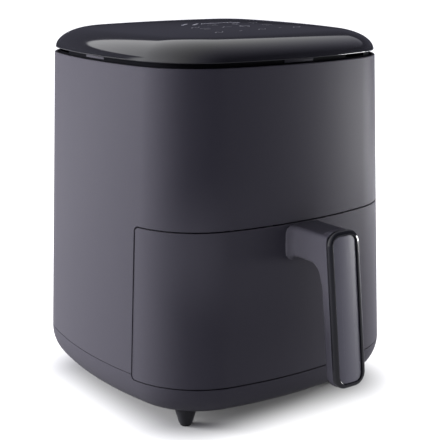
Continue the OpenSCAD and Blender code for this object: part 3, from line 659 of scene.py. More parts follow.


# %% [markdown]
# Each material slot that the record names has one finish. Satin and dull plastics, rubber and coatings
# show the spark grain, and rolled or wound metal shows fine lines along X. The grip's pad and the neck
# have finishes of their own that paint light and shade: the pad is painted lighter as a painted sheen, and
# the neck is painted near-black as painted shade. The marks on the lid have inks of their own.

# %% Finishes
dull = finish("dull_black_plastic", (22, 22, 25), 0.5, GRAIN, 700.0, 10, 0.2, 0.08, specular=0.2)
FINISH = {
    "body_plastic": finish("satin_grey_plastic", (44, 43, 47.4), 0.42, GRAIN, 900.0, 12, 0.10, 0.05,
                           specular=0.035),
    "base_plastic": finish("satin_base_plastic", (43, 42, 46.4), 0.44, GRAIN, 900.0, 12, 0.10, 0.05,
                           specular=0.035),
    "gloss_top": finish("gloss_black_cover", (15, 15, 18), 0.07, GRAIN, 300.0, 0, 0.06, 0.03),
    "inner_plastic": dull,
    "foot_plastic": dull,
    "foot_rubber": finish("foot_rubber", (18, 18, 19), 0.75, GRAIN, 500.0, 20, 0.25, 0.06, specular=0.15),
    "pan_coating": finish("non_stick_coating", (38, 38, 40), 0.36, GRAIN, 1400.0, 20, 0.25, 0.10,
                          smudge_scale=22.0),
    "silicone": finish("black_silicone", (26, 26, 27), 0.6, GRAIN, 420.0, 10, 0.15, 0.06, specular=0.3),
    "shield_steel": finish("rolled_sheet_steel", (150, 150, 154), 0.34, DRAWN, 420.0, 8, 0.14, 0.10,
                           metallic=1.0, anisotropic=0.4),
    "liner_steel": finish("aluminised_liner", (176, 175, 172), 0.30, DRAWN, 300.0, 8, 0.10, 0.12,
                          metallic=1.0, anisotropic=0.3),
    "bright_steel": finish("bright_steel", (188, 188, 190), 0.20, DRAWN, 900.0, 4, 0.06, 0.06,
                           metallic=1.0, anisotropic=0.2),
    "zinc_screws": finish("zinc_plating", (170, 172, 178), 0.28, GRAIN, 600.0, 6, 0.12, 0.08, metallic=1.0),
    "element_sheath": finish("heat_darkened_sheath", (74, 66, 60), 0.42, GRAIN, 260.0, 10, 0.35, 0.14,
                             metallic=0.9, smudge_scale=40.0),
    "lamination": finish("motor_lamination", (92, 94, 102), 0.45, DRAWN, 1600.0, 30, 0.30, 0.10,
                         metallic=0.9),
    "copper_winding": finish("enamelled_copper", (168, 92, 44), 0.30, DRAWN, 2400.0, 60, 0.30, 0.08,
                             metallic=1.0, coat=0.6),
    "bush_bronze": finish("sintered_bronze", (150, 116, 66), 0.45, GRAIN, 1500.0, 10, 0.20, 0.10,
                          metallic=1.0),
    "circuit_board": finish("green_board", (20, 74, 44), 0.32, GRAIN, 500.0, 6, 0.22, 0.08, coat=0.3),
    "component_plastic": finish("blue_component_cases", (34, 48, 96), 0.42, GRAIN, 700.0, 8, 0.20, 0.10),
    "display_plastic": finish("smoked_lens", (14, 14, 16), 0.10, GRAIN, 200.0, 0, 0.10, 0.04, coat=0.5),
    "fan_aluminium": finish("pressed_aluminium", (186, 187, 190), 0.32, DRAWN, 500.0, 6, 0.08, 0.10,
                            metallic=1.0),
    "switch_red": finish("red_plunger", (150, 22, 18), 0.38, GRAIN, 900.0, 6, 0.08, 0.06)}
# The pad is of the body's plastic. Its higher specular is real, but its colour is painted lighter than the
# body's as a painted sheen, for the light that it catches.
PAD_PAINTED_SHEEN = finish("grip_pad_painted_sheen", (69, 68, 75), 0.40, GRAIN, 900.0, 8, 0.08, 0.05, specular=0.4)
# The neck's near-black, dull finish is painted shade: it is darker than the dull black plastic the neck is
# made of, and stands for the shadow in the gap under the lid.
NECK_PAINTED_SHADE = finish("neck_painted_shade", (8, 8, 10), 0.8, GRAIN, 600.0, 0, 0.2, 0.05, specular=0.04)
MARK = finish("touch_mark_ink", (120, 120, 126), 0.5, GRAIN, 400.0, 0, 0.05)
FAINT_MARK = finish("faint_mark_ink", (74, 74, 80), 0.5, GRAIN, 400.0, 0, 0.05)
print(len(bpy.data.materials), "materials made")

# %% [markdown]
# Seen from above, the body's outline is four bowed arcs joined by four corner arcs. Each arc is tangent to
# the next, and its centre stays put at every height. So the whole shell can be made by drawing the wall's
# section once and spinning it round the eight centres in turn, each spin going on from where the last
# one stopped.

# %% The outline's eight arcs
side_centre = SIDE_RADIUS - HALF_WIDTH
front_centre = FRONT_RADIUS - HALF_DEPTH
arm_side = SIDE_RADIUS - CORNER_RADIUS
arm_front = FRONT_RADIUS - CORNER_RADIUS
slope = side_centre / front_centre
offset = (arm_side ** 2 - side_centre ** 2 - arm_front ** 2 + front_centre ** 2) / (2 * front_centre)
quad_a = 1 + slope ** 2
quad_b = 2 * side_centre - 2 * slope * offset
quad_c = offset ** 2 + side_centre ** 2 - arm_side ** 2
corner_x = (-quad_b + math.sqrt(quad_b ** 2 - 4 * quad_a * quad_c)) / (2 * quad_a)
corner_y = slope * corner_x - offset
TURN_SIDE = math.atan2(corner_y, corner_x + side_centre)
TURN_FRONT = math.atan2(corner_y + front_centre, corner_x)
TURN_CORNER = TURN_FRONT - TURN_SIDE
TURN_BOW = math.pi - 2 * TURN_FRONT
BOW_STEPS = 28
CORNER_STEPS = 32
ARCS = [((-side_centre, 0), 2 * TURN_SIDE, BOW_STEPS), ((corner_x, corner_y), TURN_CORNER, CORNER_STEPS),
        ((0, -front_centre), TURN_BOW, BOW_STEPS), ((-corner_x, corner_y), TURN_CORNER, CORNER_STEPS),
        ((side_centre, 0), 2 * TURN_SIDE, BOW_STEPS), ((-corner_x, -corner_y), TURN_CORNER, CORNER_STEPS),
        ((0, front_centre), TURN_BOW, BOW_STEPS), ((corner_x, -corner_y), TURN_CORNER, CORNER_STEPS)]


def spun_outline(name, section):
    """Spins a section of (growth, height) points round the body's outline, and stays in edit mode."""
    points = []
    for grow, up in section:
        reach = SIDE_RADIUS + grow
        points.append((reach * math.cos(TURN_SIDE) - side_centre, MID_Y - reach * math.sin(TURN_SIDE), up))
    shell = pen(name, points)
    for (x, y), angle, steps in ARCS:
        turn_section((x, MID_Y + y, 0), angle, steps)
    return shell


def wall_section(low, high, low_edge=0, high_edge=0):
    """The body's drafted wall between two heights, with a radius for its lower and its upper edges."""
    return filleted([(lean(low), low, low_edge), (lean(high), high, high_edge),
                     (lean(high) - WALL, high, high_edge), (lean(low) - WALL, low, low_edge)])


def front_y(x, z, grow=0.0):
    """Depth of the front's outer face at a place, measured from the body's middle."""
    return math.sqrt((FRONT_RADIUS + lean(z) + grow) ** 2 - x * x) - front_centre


print("corner arcs turn", round(math.degrees(TURN_CORNER), 1), "degrees")

# %% [markdown]
# The drawer's front and the housing are cut by the same shape: a long prism across the body with rounded
# back corners. Made a little larger it cuts the opening, and a little smaller it trims the drawer's
# front, and the difference is the seam.

# %% The drawer's space
SPACE_HALF_WIDTH = 0.2
SPACE_FRONT = -0.32


def drawer_space(grow):
    """The prism across the body that the drawer's front fills, grown by a small amount."""
    back = MID_Y - SIDE_SEAM_Y + grow
    prism = block("drawer_space", (-SPACE_HALF_WIDTH, MID_Y + SPACE_FRONT, DRAWER_LOW - grow),
                  (SPACE_HALF_WIDTH, back, DRAWER_HIGH + grow))
    round_edges(prism, lambda edge: span(edge, 0) > SPACE_HALF_WIDTH
                and all(abs(v.co.y - back) < TINY for v in edge.verts), SEAM_CORNER + grow, 10)
    return prism


# %% [markdown]
# The upper housing is a drafted wall 2.6 mm thick. Its section is a tall thin loop with rounded corners,
# and the drawer's space and the opening for the exhaust are cut out afterwards. A small bevel then breaks
# the cut edges, as a mould does.

# %% Housing shell
EDGE = 0.0004
RIM_EDGE = 0.0007
BASE_GAP = 0.00022
BACK_CUT_Y = 0.135
BACK_CUT_HALF = 0.025
VENT_Z = 0.206
VENT_WIDTH = 0.0844
VENT_HEIGHT = 0.0364

housing = spun_outline("housing_shell", wall_section(BASE_SEAM + BASE_GAP, RIM_Z, EDGE, RIM_EDGE))
close_up()
carve(housing, drawer_space(SEAM_WIDTH / 2))
carve(housing, slab((0, MID_Y + BACK_CUT_Y, VENT_Z), (VENT_WIDTH / 2, BACK_CUT_HALF, VENT_HEIGHT / 2)))
soften(housing, EDGE)
smooth(housing, 40, weighted=True)
dress(housing, "housing", "body_plastic", ["body_shell"])

# %% [markdown]
# The drawer's front is the same wall, kept only where it lies inside the drawer's space.

# %% Drawer front
drawer_shell = spun_outline("drawer_shell", wall_section(DRAWER_LOW + SEAM_WIDTH / 2,
                                                         DRAWER_HIGH - SEAM_WIDTH / 2))
close_up()
carve(drawer_shell, drawer_space(-SEAM_WIDTH / 2), "INTERSECT")
soften(drawer_shell, EDGE)
smooth(drawer_shell, 40, weighted=True)
dress(drawer_shell, "drawer", "body_plastic", ["drawer_front"])

# %% [markdown]
# The base is a shallow bowl. The section runs from the floor of the bowl up its outer curve, a quarter of
# an ellipse, over the edge at the seam and down the inside. Six slots in each lower edge let cool air in.

# %% Base bowl
INTAKE_X = 0.112
INTAKE_FIRST_Y = -0.036
INTAKE_PITCH = 0.0117
INTAKE_COUNT = 6
INTAKE_HALF = (0.0115, 0.002, 0.0036)
CURVE_STEPS = 14

bowl_edge = BASE_SEAM - BASE_GAP
curve_out = lean(BASE_CURVE_TOP)
outer_curve = bow((curve_out, BASE_CURVE_TOP), -BASE_CURVE_IN, BASE_BOTTOM - BASE_CURVE_TOP, CURVE_STEPS)
inner_curve = bow((curve_out - WALL, BASE_CURVE_TOP), WALL - BASE_CURVE_IN,
                  BASE_BOTTOM + WALL - BASE_CURVE_TOP, CURVE_STEPS)
rim_section = filleted([(*outer_curve[0], 0), (lean(bowl_edge), bowl_edge, EDGE),
                        (lean(bowl_edge) - WALL, bowl_edge, EDGE), (*inner_curve[0], 0)], closed=False)
bowl = spun_outline("base_bowl", outer_curve[:0:-1] + rim_section + inner_curve[1:])
fill_open(bowl, lambda edge: True)
for side in (-1, 1):
    for k in range(INTAKE_COUNT):
        intake_y = MID_Y + INTAKE_FIRST_Y + INTAKE_PITCH * k
        carve(bowl, slab((side * INTAKE_X, intake_y, BASE_BOTTOM), INTAKE_HALF))
carve(bowl, drawer_space(SEAM_WIDTH / 2))
soften(bowl, EDGE)
smooth(bowl, 40, weighted=True)
dress(bowl, "housing", "base_plastic", ["base_tray"])

# %% [markdown]
# The lid is a glossy dome. Its edge is part of an ellipse and is spun like the walls. From the shoulder
# inwards the open loop is extruded and shrunk ring by ring towards the middle, each ring a little higher,
# and the last one is merged to a point. Solidify then gives it 3 mm of thickness inwards.

# %% Domed lid
LID_EDGE_IN = 0.0384
LID_EDGE_RISE = 0.0178
LID_LIP_IN = 0.001
LID_LIP_WIDE = 0.0015
LID_LIP_RISE = 0.003
LID_LIP_ROUND = 0.0008
LID_TURN = 78
CROWN_RISE = 0.0041
LID_THICKNESS = 0.003
LID_STEPS = 20
CROWN_RINGS = (0.96, 0.9, 0.82, 0.72, 0.6, 0.47, 0.34, 0.21, 0.1)

lid_out = lean(RIM_Z) - LID_LIP_IN
lid_lip = filleted([(lid_out - LID_LIP_WIDE, LIP_Z, 0), (lid_out, LIP_Z, LID_LIP_ROUND),
                    (lid_out, LIP_Z + LID_LIP_RISE, 0)], closed=False)
lid_curve = bow((lid_out, LIP_Z), -LID_EDGE_IN, LID_EDGE_RISE, LID_STEPS, LID_TURN)
shoulder_z = lid_curve[-1][1]
lid = spun_outline("domed_lid", lid_lip[:-1] + lid_curve[1:])
merge_doubles()
select_where(lid, "edges", lambda edge: edge.is_boundary
             and all(v.co.z > shoulder_z - TINY for v in edge.verts))
ring = 1.0
for smaller in CROWN_RINGS:
    push_section((0, 0, CROWN_RISE * (ring ** 2 - smaller ** 2)))
    bpy.ops.transform.resize(value=(smaller / ring, smaller / ring, 1), center_override=(0, MID_Y, 0))
    ring = smaller
push_section((0, 0, CROWN_RISE * ring ** 2))
bpy.ops.mesh.merge(type="CENTER")
close_up()
apply_modifier(lid, "SOLIDIFY", thickness=LID_THICKNESS, offset=-1, use_even_offset=True)
smooth(lid, 50)
dress(lid, "housing", "gloss_top", ["top_cover"])

# %% [markdown]
# Between rim and lid the neck shows as a dark shadow line, and its near-black finish is painted shade.
# It is one ring with a step in its section, spun like the walls. Every side has an air slot near one of its
# ends, which is cut out with a slab.

# %% Neck band
NECK_LOW = 0.290
NECK_IN = 0.0052
NECK_TOP = LIP_Z + 0.0036
NECK_WALL = 0.002
NECK_STEP_DOWN = 0.0008
NECK_ROUND = 0.0003
NECK_PLAY = 0.0001
AIR_SLOT_MIDDLE = 0.066
AIR_SLOT_REACH = 0.110
AIR_SLOT_Z = RIM_Z + 0.0019
AIR_SLOT_HALF = (0.013, 0.02, 0.0012)

neck_low_out = lean(RIM_Z) - WALL - NECK_PLAY
neck_out = lean(RIM_Z) - NECK_IN
neck = spun_outline("neck_band", filleted([
    (neck_low_out, NECK_LOW, 0), (neck_low_out, RIM_Z - NECK_STEP_DOWN, NECK_ROUND),
    (neck_out, RIM_Z - NECK_STEP_DOWN, NECK_ROUND), (neck_out, NECK_TOP, 0),
    (neck_out - NECK_WALL, NECK_TOP, 0), (neck_out - NECK_WALL, NECK_LOW, 0)], steps=2))
close_up()
half_long, half_deep, half_tall = AIR_SLOT_HALF
for side in (-1, 1):
    along, across = side * AIR_SLOT_MIDDLE, side * AIR_SLOT_REACH
    carve(neck, slab((along, MID_Y - across, AIR_SLOT_Z), (half_long, half_deep, half_tall)))
    carve(neck, slab((across, MID_Y - along, AIR_SLOT_Z), (half_deep, half_long, half_tall)))
smooth(neck, 30)
# The neck wears the painted shade finish in place of its own plastic.
dress(neck, "housing", "inner_plastic", ["neck_ring"], NECK_PAINTED_SHADE)

# %% [markdown]
# The grip is modelled flat, as seen from the front, and then stood on its leaning plane. Across is X,
# along the grip is Y and outwards is Z, until the finished piece is turned into place.

# %% Measures of the grip
GRIP_WIDTH = 0.032
GRIP_LENGTH = 0.1264
GRIP_DEPTH = 0.014
GRIP_CORNER = 0.011
GRIP_REACH = 0.1837
GRIP_MIDDLE_Z = 0.1099
GRIP_LEAN = math.radians(6.4)
FRAME_DEPTH = 0.004
FRAME_LIP = 0.0041
FRAME_SEAT = 0.00015
ARM_TOP = 0.1696
ARM_LOW = 0.144
ARM_BEND = 0.013
ARM_EDGE = 0.004
ARM_INSIDE = 0.007
BEND_INSIDE = 0.004
BEND_ABOVE = 0.005
FLARE = 0.006
FLARE_SLICES = 8
FLARE_ROOT = 0.0022
half_w, half_l = GRIP_WIDTH / 2, GRIP_LENGTH / 2


def stand_grip(piece):
    """Turns a piece modelled flat onto the grip's leaning front plane."""
    put(piece, (0, MID_Y - GRIP_REACH, GRIP_MIDDLE_Z), (90 - math.degrees(GRIP_LEAN), 0, 0))


print("grip stands", round(1000 * (GRIP_REACH - front_y(0, GRIP_MIDDLE_Z)), 1), "mm before the front")

# %% [markdown]
# The grip's body is one moulding: a limb, an arm that joins it to the drawer, a bend under the arm and a
# flare where it meets the front. The flare is a stack of thin plates that grow towards the drawer's front
# along a quarter circle. All the parts are fused by a voxel remesh and smoothed, which gives the soft
# blends of a moulded part. A bisect then leaves the flat seat that the frame lies on.

# %% Grip body
BODY_VOXEL = 0.0008
LIMB_TOP = -0.001

limb = plate("grip_body", GRIP_WIDTH, GRIP_LENGTH, -GRIP_DEPTH, LIMB_TOP, GRIP_CORNER)
round_edges(limb, at_height(-GRIP_DEPTH), ARM_EDGE, 5)
stand_grip(limb)

arm_lift = (ARM_LOW - GRIP_MIDDLE_Z) * math.tan(GRIP_LEAN)
limb_back = MID_Y - GRIP_REACH + arm_lift + GRIP_DEPTH / math.cos(GRIP_LEAN)
root_y = MID_Y - front_y(0, ARM_LOW)
arm = block("arm", (-half_w, limb_back - ARM_INSIDE, ARM_LOW), (half_w, root_y - FLARE, ARM_TOP))
round_edges(arm, lambda edge: span(edge, 1) > GRIP_DEPTH, ARM_EDGE, 5)

flare = []
slice_deep = FLARE / FLARE_SLICES
for k in range(FLARE_SLICES):
    left = FLARE - slice_deep * (k + 0.5)
    grown = FLARE - math.sqrt(FLARE ** 2 - (FLARE - left) ** 2)
    tall = ARM_TOP - ARM_LOW + grown
    near = root_y - FLARE + slice_deep * k
    deep = slice_deep + (FLARE_ROOT if k == FLARE_SLICES - 1 else 0)
    layer = plate("flare", GRIP_WIDTH + 2 * grown, tall, -near - deep, -near, ARM_EDGE + grown, 8)
    put(layer, (0, 0, ARM_TOP - tall / 2), (90, 0, 0))
    flare.append(layer)

bend_inside, bend_top = limb_back - BEND_INSIDE, ARM_LOW + BEND_ABOVE
bend_arc = bow((limb_back, ARM_LOW - ARM_BEND), ARM_BEND, ARM_BEND, 9)
bend_outline = [(bend_inside, bend_top), (limb_back + ARM_BEND, bend_top), *bend_arc[::-1],
                (bend_inside, ARM_LOW - ARM_BEND), (bend_inside, bend_top)]
bend = flat_shape("bend", [(-half_w, y, z) for y, z in bend_outline])
push_section((GRIP_WIDTH, 0, 0))
close_up()
round_edges(bend, lambda edge: span(edge, 0) < TINY
            and all(v.co.z < ARM_LOW + TINY and v.co.y > limb_back - BEND_INSIDE / 2 for v in edge.verts),
            ARM_EDGE, 4)

joined("grip_body", [limb, arm, bend, *flare])
apply_modifier(limb, "REMESH", mode="VOXEL", voxel_size=BODY_VOXEL)
apply_modifier(limb, "SMOOTH", factor=0.5, iterations=8)
bpy.ops.object.mode_set(mode="EDIT")
bpy.ops.mesh.select_all(action="SELECT")
grip_normal = Vector((0, -math.cos(GRIP_LEAN), math.sin(GRIP_LEAN)))
seat = Vector((0, MID_Y - GRIP_REACH, GRIP_MIDDLE_Z)) - grip_normal * (FRAME_DEPTH + FRAME_SEAT)
bpy.ops.mesh.bisect(plane_co=seat, plane_no=grip_normal, use_fill=True, clear_outer=True)
bpy.ops.object.mode_set(mode="OBJECT")
smooth(limb, 40)
dress(limb, "drawer", "body_plastic", ["handle_body"])

# %% [markdown]
# The frame round the grip is a glossy moulding whose outer edge is rounded like part of an ellipse. Its
# section is carried round a rounded rectangle. The pad that it holds is crowned a little from side to
# side, which gives it a soft change of tone, so its section is drawn as an arc and pushed along the grip.

# %% Grip frame and pad
BEVEL_ACROSS = 0.0036
BEVEL_DEEP = 0.0025
BEVEL_FOOT = 0.0003
LIP_SECTION = [(0.0001 - FRAME_LIP, -0.0002), (-FRAME_LIP, -0.0006), (-FRAME_LIP, -FRAME_DEPTH)]
PAD_TOP = -0.0001
PAD_LOW = -0.0026
PAD_CROWN = 0.0011
PAD_GAP = 0.0002
PAD_STEPS = 10
PAD_CUT = 0.01

section = [(0.0, -FRAME_DEPTH), (0.0, -BEVEL_DEEP - BEVEL_FOOT),
           *bow((0.0, -BEVEL_DEEP), -BEVEL_ACROSS, BEVEL_DEEP, 8), *LIP_SECTION, (0.0, -FRAME_DEPTH)]
frame_ring = ring_round("grip_frame", section, half_w, half_l, GRIP_CORNER)
close_up()
stand_grip(frame_ring)
smooth(frame_ring, 40)
dress(frame_ring, "drawer", "gloss_top", ["handle_frame"])

pad_half = half_w - FRAME_LIP - PAD_GAP
pad_long = half_l - FRAME_LIP - PAD_GAP
shares = [k / PAD_STEPS for k in range(-PAD_STEPS, PAD_STEPS + 1)]
arch = [(pad_half * share, 0, PAD_TOP - PAD_CROWN * share ** 2) for share in shares]
pad = flat_shape("grip_pad", [(pad_half, 0, PAD_LOW), (-pad_half, 0, PAD_LOW), *arch, (pad_half, 0, PAD_LOW)])
push_section((0, 2 * pad_long, 0))
close_up()
put(pad, (0, -pad_long, 0))
pad_outline = plate("pad_outline", 2 * pad_half, 2 * pad_long, -PAD_CUT, PAD_CUT, GRIP_CORNER - FRAME_LIP)
carve(pad, pad_outline, "INTERSECT")
soften(pad, EDGE, 3)
stand_grip(pad)
smooth(pad, 30, weighted=True)
# The pad wears the painted sheen finish in place of the body's plastic.
dress(pad, "drawer", "body_plastic", ["handle_insert"], PAD_PAINTED_SHEEN)

# %% [markdown]
# Four tapered feet carry the fryer. Each is a section spun a full turn: a cone with a rounded lower edge
# and a soft pad set into it.

# %% Feet and pads
FOOT_X = 0.0885
FOOT_Y = 0.0855
FOOT_SECTION = [(0.0031, 0.0018, 0), (0.0056, 0.0018, 0.0007), (0.0096, 0.0155, 0.0006),
                (0.0096, 0.0172, 0), (0.0031, 0.0172, 0)]
FOOT_PAD_SECTION = [(0, 0, 0), (0.0048, 0, 0.0006), (0.0048, 0.0018, 0), (0.003, 0.0018, 0),
                    (0.003, 0.0044, 0), (0, 0.0044, 0)]
for node, corners, steps, slot in (("feet", FOOT_SECTION, 4, "foot_plastic"),
                                   ("foot_pads", FOOT_PAD_SECTION, 3, "foot_rubber")):
    section = filleted(corners, steps=steps)
    four = joined("turned_" + node, [turned(node, section, x, MID_Y + y)
                                     for x in (FOOT_X, -FOOT_X) for y in (FOOT_Y, -FOOT_Y)])
    smooth(four)
    dress(four, "housing", slot, [node])

# %% [markdown]
# In the middle of every side a rib joins the neck to the lid. It shows as a short grey break in the dark
# line, so it stands a little out of the neck's face.

# %% Neck ribs
RIB = (0.029, 0.0016, 0.0022)
RIB_CORNER = 0.0004
RIB_EDGE = 0.0003
RIB_BACK = 0.0004
rib_z = RIM_Z + 0.0022
rib_front = front_y(0, rib_z, -NECK_IN - RIB_BACK)
rib_side = SIDE_RADIUS + lean(rib_z) - NECK_IN - RIB_BACK - side_centre
ribs = []
for x, y, turn in ((0, -rib_front, 0), (0, rib_front, 0), (rib_side, 0, 90), (-rib_side, 0, 90)):
    rib = plate("neck_ribs", RIB[0], RIB[1], -RIB[2] / 2, RIB[2] / 2, RIB_CORNER, 3)
    soften(rib, RIB_EDGE)
    put(rib, (x, MID_Y + y, rib_z), (0, 0, turn))
    ribs.append(rib)
all_ribs = joined("neck_ribs", ribs)
smooth(all_ribs)
dress(all_ribs, "housing", "body_plastic")

# %% [markdown]
# The touch panel's signs are printed on the lid: a long lit bar behind, and rows of small generic marks in
# front of it. Each mark is made flat from thin strokes, and is then laid on the lid where a ray finds the
# surface.

# %% Touch marks
STROKE = 0.0011
MARK_HEIGHT = 0.00008
MARK_DEEP = 0.0004
STROKE_END = 0.45
HOOP = 0.004
ABOVE_LID = 0.4
UP = Vector((0, 0, 1))
# A stroke has a place in x and y, a length, a width and a turn in degrees.
BRIGHT = ((-0.0325, 0.0221, 0.011, 0.0020, 35), (-0.0245, 0.0174, 0.0125, 0.0020, 38),
          (-0.0025, 0.0165, 0.033, 0.0018, 0), (0.0155, 0.0130, 0.007, 0.0014, -65))
# Each sign is a list of strokes too, with their places measured from its middle.
SIGNS = {"hoop": [(0, HOOP, 0.003, STROKE, 90)],
         "wave": [(-0.003, 0, 0.005, STROKE, 50), (0.0002, 0, 0.005, STROKE, -50),
                  (0.0034, 0, 0.005, STROKE, 50)],
         "lines": [(0, 0.0022, 0.009, STROKE, 0), (0, -0.0022, 0.006, STROKE, 0)],
         "plus": [(0, 0, 0.008, STROKE, 0), (0, 0, 0.008, STROKE, 90)],
         "arrow": [(-0.002, 0, 0.007, STROKE, 45), (0.002, 0, 0.007, STROKE, -45)],
         "dot": [(0, 0, 0.0022, 0.0020, 0)]}
PLACES = [("wave", -0.0400, -0.0050), ("lines", -0.0385, -0.0185), ("wave", -0.0410, -0.0400),
          ("dot", -0.0190, -0.0400), ("lines", -0.0165, 0.0020), ("arrow", -0.0160, -0.0145),
          ("plus", 0.0058, 0.0015), ("hoop", 0.0028, -0.0160), ("wave", 0.0036, -0.0385),
          ("dot", 0.0246, -0.0361), ("lines", 0.0290, -0.0140), ("wave", 0.0430, -0.0355),
          ("lines", 0.0300, 0.0060)]


def stroke(x, y, length, width, turn):
    """A thin printed line with round ends, centred on a place and turned by some degrees."""
    made = plate("stroke", length, width, -MARK_DEEP, MARK_HEIGHT, width * STROKE_END, 4)
    put(made, (x, y, 0), (0, 0, turn))
    return made


def hoop(x, y):
    """A thin printed circle."""
    inner, outer = HOOP - STROKE / 2, HOOP + STROKE / 2
    return turned("hoop", [(inner, -MARK_DEEP), (outer, -MARK_DEEP), (outer, MARK_HEIGHT),
                           (inner, MARK_HEIGHT), (inner, -MARK_DEEP)], x, y, 24)


def sign(kind, x, y):
    """All the strokes of one sign at its place; a hoop is a circle with one short stroke."""
    start = [hoop(x, y)] if kind == "hoop" else []
    return start + [stroke(x + across, y + along, *rest) for across, along, *rest in SIGNS[kind]]


def lay_on_lid(strokes):
    """Joins the strokes of one mark and lays it on the lid under its middle."""
    mark = joined("mark", strokes)
    x, y = [(min(side) + max(side)) / 2 for side in zip(*(v.co[:2] for v in mark.data.vertices))]
    _, spot, normal, _ = lid.ray_cast(Vector((x, y, ABOVE_LID)), -UP)
    put(mark, (-x, -y, 0))
    mark.rotation_euler = UP.rotation_difference(normal).to_euler()
    mark.location = spot
    settle(mark)
    return mark


for name, strokes, ink in (("touch_marks", [sign(*one) for one in PLACES], FAINT_MARK),
                           ("lit_marks", [[stroke(*one)] for one in BRIGHT], MARK)):
    marks = joined(name, [lay_on_lid(one) for one in strokes])
    smooth(marks)
    dress(marks, "housing", None, material=ink)

# %% [markdown]
# The pan is a deep tray with a coated steel wall. Its section starts under the floor, runs up the outside,
# over the rolled rim and down the inside. It is carried round a rounded rectangle, and the two loops that
# stay open are filled to close the floor.

# %% Pan
PAN_HALF_W = 0.1
PAN_HALF_D = 0.097
PAN_CORNER = 0.04
PAN_Y = -0.003
PAN_BOTTOM = 0.046
PAN_RIM = 0.1685
PAN_SHEET = 0.0012
KNEE_Z = 0.058
KNEE_IN = 0.003
FLOOR_IN = 0.014
ROLL_OUT = 0.0053
ROLL_LOW = PAN_RIM - 0.0023
ROLL_TOP = PAN_RIM - 0.0001

outer_knee = bow((-KNEE_IN, KNEE_Z), KNEE_IN - FLOOR_IN, PAN_BOTTOM - KNEE_Z, 8)
inner_knee = bow((-KNEE_IN - PAN_SHEET, KNEE_Z), KNEE_IN - FLOOR_IN, PAN_BOTTOM + PAN_SHEET - KNEE_Z, 8)
rolled = filleted([(*outer_knee[0], 0), (-0.0001, ROLL_LOW, 0.0006), (ROLL_OUT, ROLL_LOW, 0.0011),
                   (ROLL_OUT, ROLL_TOP, 0.0010), (-PAN_SHEET, ROLL_TOP, 0.0014), (*inner_knee[0], 0)],
                  closed=False, steps=4)
pan = ring_round("coated_pan", outer_knee[:0:-1] + rolled + inner_knee[1:], PAN_HALF_W, PAN_HALF_D,
                 PAN_CORNER, MID_Y + PAN_Y, 16)
fill_open(pan, at_height(PAN_BOTTOM), at_height(PAN_BOTTOM + PAN_SHEET))
smooth(pan, 40)
dress(pan, "drawer", "pan_coating", ["pan"])

# %% [markdown]
# The crisper grid is a plate with a raised rim, made in the same way. One slot with round ends is shaped
# and two array modifiers copy it into rows, and the whole set is cut out at once. Four short legs and four
# soft bumpers hold it off the pan.

# %% Crisper grid
GRID_HALF_W = 0.092
GRID_HALF_D = 0.089
GRID_CORNER = 0.034
GRID_Z = 0.062
GRID_SHEET = 0.0016
GRID_RIM = 0.007
GRID_RIM_SHEET = 0.0015
GRID_LAP = 0.010
SLOT_W = 0.006
SLOT_L = 0.024
SLOT_ROUND = SLOT_W / 2 - 0.00002
SLOTS_ACROSS = 9
SLOTS_DEEP = 5
SLOT_STEP_X = 0.017
SLOT_STEP_Y = 0.031
CUT_LOW = GRID_Z - 0.002
CUT_HIGH = GRID_Z + 0.004
GRID_EDGE = 0.0003
LEG_PLACE = 0.068
LEG_RADIUS = 0.005
LEG_LOW = 0.0475
LEG_TOP = GRID_Z + 0.0004
LEG_ROUND = 0.0012

rim_top, sheet_top = GRID_Z + GRID_RIM, GRID_Z + GRID_SHEET
lip = filleted([(-GRID_LAP, GRID_Z, 0), (0, GRID_Z, 0.0022), (0, rim_top, 0.0006),
                (-GRID_RIM_SHEET, rim_top, 0.0006), (-GRID_RIM_SHEET, sheet_top, 0.0009),
                (-GRID_LAP, sheet_top, 0)], closed=False, steps=4)
grid = ring_round("crisper_plate", lip, GRID_HALF_W, GRID_HALF_D, GRID_CORNER, MID_Y + PAN_Y)
fill_open(grid, at_height(GRID_Z), at_height(sheet_top))
slots = plate("slots", SLOT_W, SLOT_L, CUT_LOW, CUT_HIGH, SLOT_ROUND, 8)
put(slots, (-(SLOTS_ACROSS // 2) * SLOT_STEP_X, MID_Y + PAN_Y - SLOTS_DEEP // 2 * SLOT_STEP_Y, 0))
for count, step in ((SLOTS_ACROSS, (SLOT_STEP_X, 0, 0)), (SLOTS_DEEP, (0, SLOT_STEP_Y, 0))):
    apply_modifier(slots, "ARRAY", count=count, use_relative_offset=False, use_constant_offset=True,
                   constant_offset_displace=step)
carve(grid, slots)
soften(grid, GRID_EDGE, 2, 50)
leg = filleted([(0, LEG_LOW, 0), (LEG_RADIUS, LEG_LOW, LEG_ROUND), (LEG_RADIUS, LEG_TOP, 0),
                (0, LEG_TOP, 0)], steps=4)
legs = [turned("leg", leg, x, MID_Y + PAN_Y + y, 28) for x in (-LEG_PLACE, LEG_PLACE)
        for y in (-LEG_PLACE, LEG_PLACE)]
joined("crisper_plate", [grid, *legs])
smooth(grid, 40, weighted=True)
dress(grid, "grid", "pan_coating", ["crisper_grid"])

BUMPER = (0.0025, 0.018, 0.006)
BUMPER_OUT = 0.0013
BUMPER_LIFT = 0.0012
BUMPER_CORNER = 0.0011
BUMPER_ROUND = 0.0007
PANEL_IN = 0.0008
PANEL_DEEP = 0.0004

